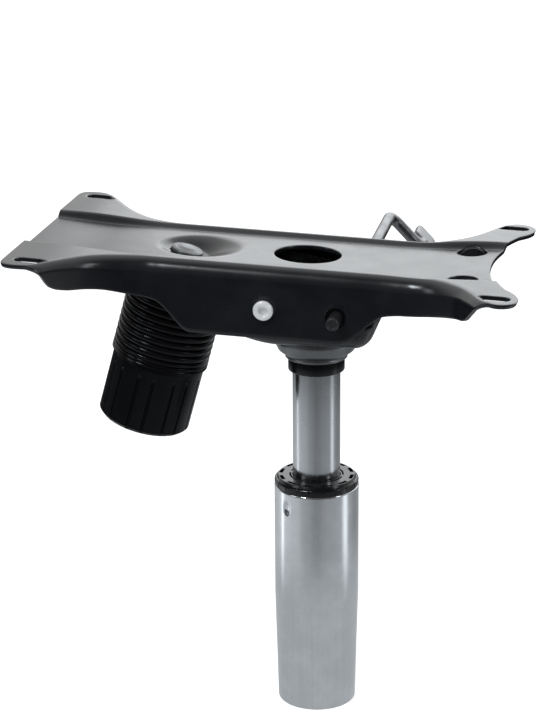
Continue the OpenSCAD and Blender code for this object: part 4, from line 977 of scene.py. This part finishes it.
COOL = (0.92, 0.965, 1.0)
# Painted reflection levels by angle round the floor's middle; the peak near 0.5 is a painted streak.
PAINTED_REFLECTION_LEVELS = [(0.0, 1.0), (0.03, 0.72), (0.12, 0.62), (0.2, 0.42), (0.27, 0.3), (0.38, 0.4), (0.46, 0.46),
         (0.505, 1.35), (0.545, 0.45), (0.62, 0.32), (0.75, 0.4), (0.9, 0.6), (0.96, 0.75), (1.0, 1.0)]

def floor_with_painted_reflection():
    """White to the camera; in reflections a painted reflection, an emission whose level runs with angle and
    distance.
    """
    mat = bpy.data.materials.new("studio_floor")
    mat.use_nodes = True
    t = mat.node_tree
    t.nodes.clear()
    at = node(t, "TexCoord").outputs["Object"]
    far = node(t, "VectorMath", {0: at}, operation="LENGTH").outputs["Value"]
    turn = node(t, "TexGradient", {"Vector": at}, gradient_type="RADIAL").outputs[1]
    ramp = node(t, "ValToRGB", {"Fac": turn})
    ramp.color_ramp.interpolation = "EASE"
    for k, (place, level) in enumerate(PAINTED_REFLECTION_LEVELS):
        stop = ramp.color_ramp.elements[k] if k < 1 else ramp.color_ramp.elements.new(place)
        stop.position, stop.color = place, (level / 2, level / 2, level / 2, 1)
    # Painted reflection: bright round the object and dark far out, a flat grey right below it.
    around = math_node(t, "MULTIPLY", ramp.outputs[0], soft_range(t, far, 0.46, 0.74, 2.1, 0.13))
    below = soft_range(t, far, 0.16, 0.30, 1.0, 0.0)
    painted_reflection_level = node(t, "Mix", {"Factor": below, "A": around, "B": 0.55}).outputs[0]
    path = node(t, "LightPath")
    plain = math_node(t, "ADD", path.outputs["Is Camera Ray"], path.outputs["Is Transmission Ray"], True)
    lift = node(t, "Emission", {"Strength": math_node(t, "MULTIPLY", plain, 0.5)})
    matte = node(t, "BsdfDiffuse", {"Color": (0.82, 0.82, 0.82, 1)})
    seen = node(t, "AddShader", {0: lift.outputs[0], 1: matte.outputs[0]})
    # This emission is seen only by glossy rays: a painted reflection on the floor, not a lamp.
    painted_reflection_glow = node(t, "Emission", {"Color": (*COOL, 1), "Strength": painted_reflection_level})
    glossy = path.outputs["Is Glossy Ray"]
    both = node(t, "MixShader", {0: glossy, 1: seen.outputs[0], 2: painted_reflection_glow.outputs[0]})
    node(t, "OutputMaterial", {"Surface": both.outputs[0]})
    return mat

def make_floor():
    s = 14000.0
    grid = np.array([[-s, -s, 0], [s, -s, 0], [s, s, 0], [-s, s, 0]], float)
    floor = make_mesh("floor", grid, np.array([[0, 1, 2, 3]]), closed=False)
    floor.data.materials.append(floor_with_painted_reflection())
    return floor

make_floor()
world = bpy.data.worlds.new("studio")
bpy.context.scene.world = world
world.use_nodes = True
wt = world.node_tree
wt.nodes.clear()
path = node(wt, "LightPath")
ahead = node(wt, "SeparateXYZ", {0: node(wt, "TexCoord").outputs["Generated"]}).outputs["Y"]
glossy = math_node(wt, "MULTIPLY", path.outputs["Is Glossy Ray"], soft_range(wt, ahead, -0.35, 0.5, 0.12, 1.0))
plain = math_node(wt, "ADD", path.outputs["Is Camera Ray"], path.outputs["Is Transmission Ray"], True)
any_seen = math_node(wt, "ADD", plain, path.outputs["Is Glossy Ray"], True)
matte_light = math_node(wt, "MULTIPLY", math_node(wt, "SUBTRACT", 1.0, any_seen), 0.6)
level = math_node(wt, "ADD", math_node(wt, "ADD", plain, glossy), matte_light)
back = node(wt, "Background", {"Color": (1, 1, 1, 1), "Strength": level})
node(wt, "OutputWorld", {"Surface": back.outputs[0]})
print("world ready")

# %% [markdown]
# The lamps are soft rectangles that face the chair: a wide one behind and above, whose
# reflection lies on the plate, one above the front, and one at each side.
# %% Lamps
def lamp(name, place, aim, size, power, tall=None):
    data = bpy.data.lights.new(name, "AREA")
    data.shape = "RECTANGLE"
    data.size, data.size_y, data.energy = size, tall or size, power
    data.color = COOL
    ob = bpy.data.objects.new(name, data)
    bpy.context.collection.objects.link(ob)
    way = np.array(aim, float) - np.array(place, float)
    way /= np.linalg.norm(way)
    side = np.cross(way, [0, 0, 1.0])
    side /= np.linalg.norm(side)
    up = np.cross(side, way)
    m = np.eye(4)
    m[:3, 0], m[:3, 1], m[:3, 2], m[:3, 3] = side, up, -way, place
    ob.matrix_world = Matrix(m.tolist())
    return ob

lamp("softbox_behind", (0.5, 2.2, 1.2), (0, 0, 0.25), 2.5, 16, 1.5)
lamp("softbox_above", (-0.62, -0.95, 1.5), (-0.1, 0, 0.25), 0.22, 11, 0.5)
lamp("softbox_right", (1.7, -0.6, 0.8), (0, 0, 0.2), 0.3, 5, 1.2)
lamp("softbox_left", (-1.4, -0.9, 0.9), (0, 0, 0.2), 0.5, 3, 0.8)
view = bpy.context.scene.view_settings
view.view_transform = "Standard"
print("lamps", len(bpy.data.lights))
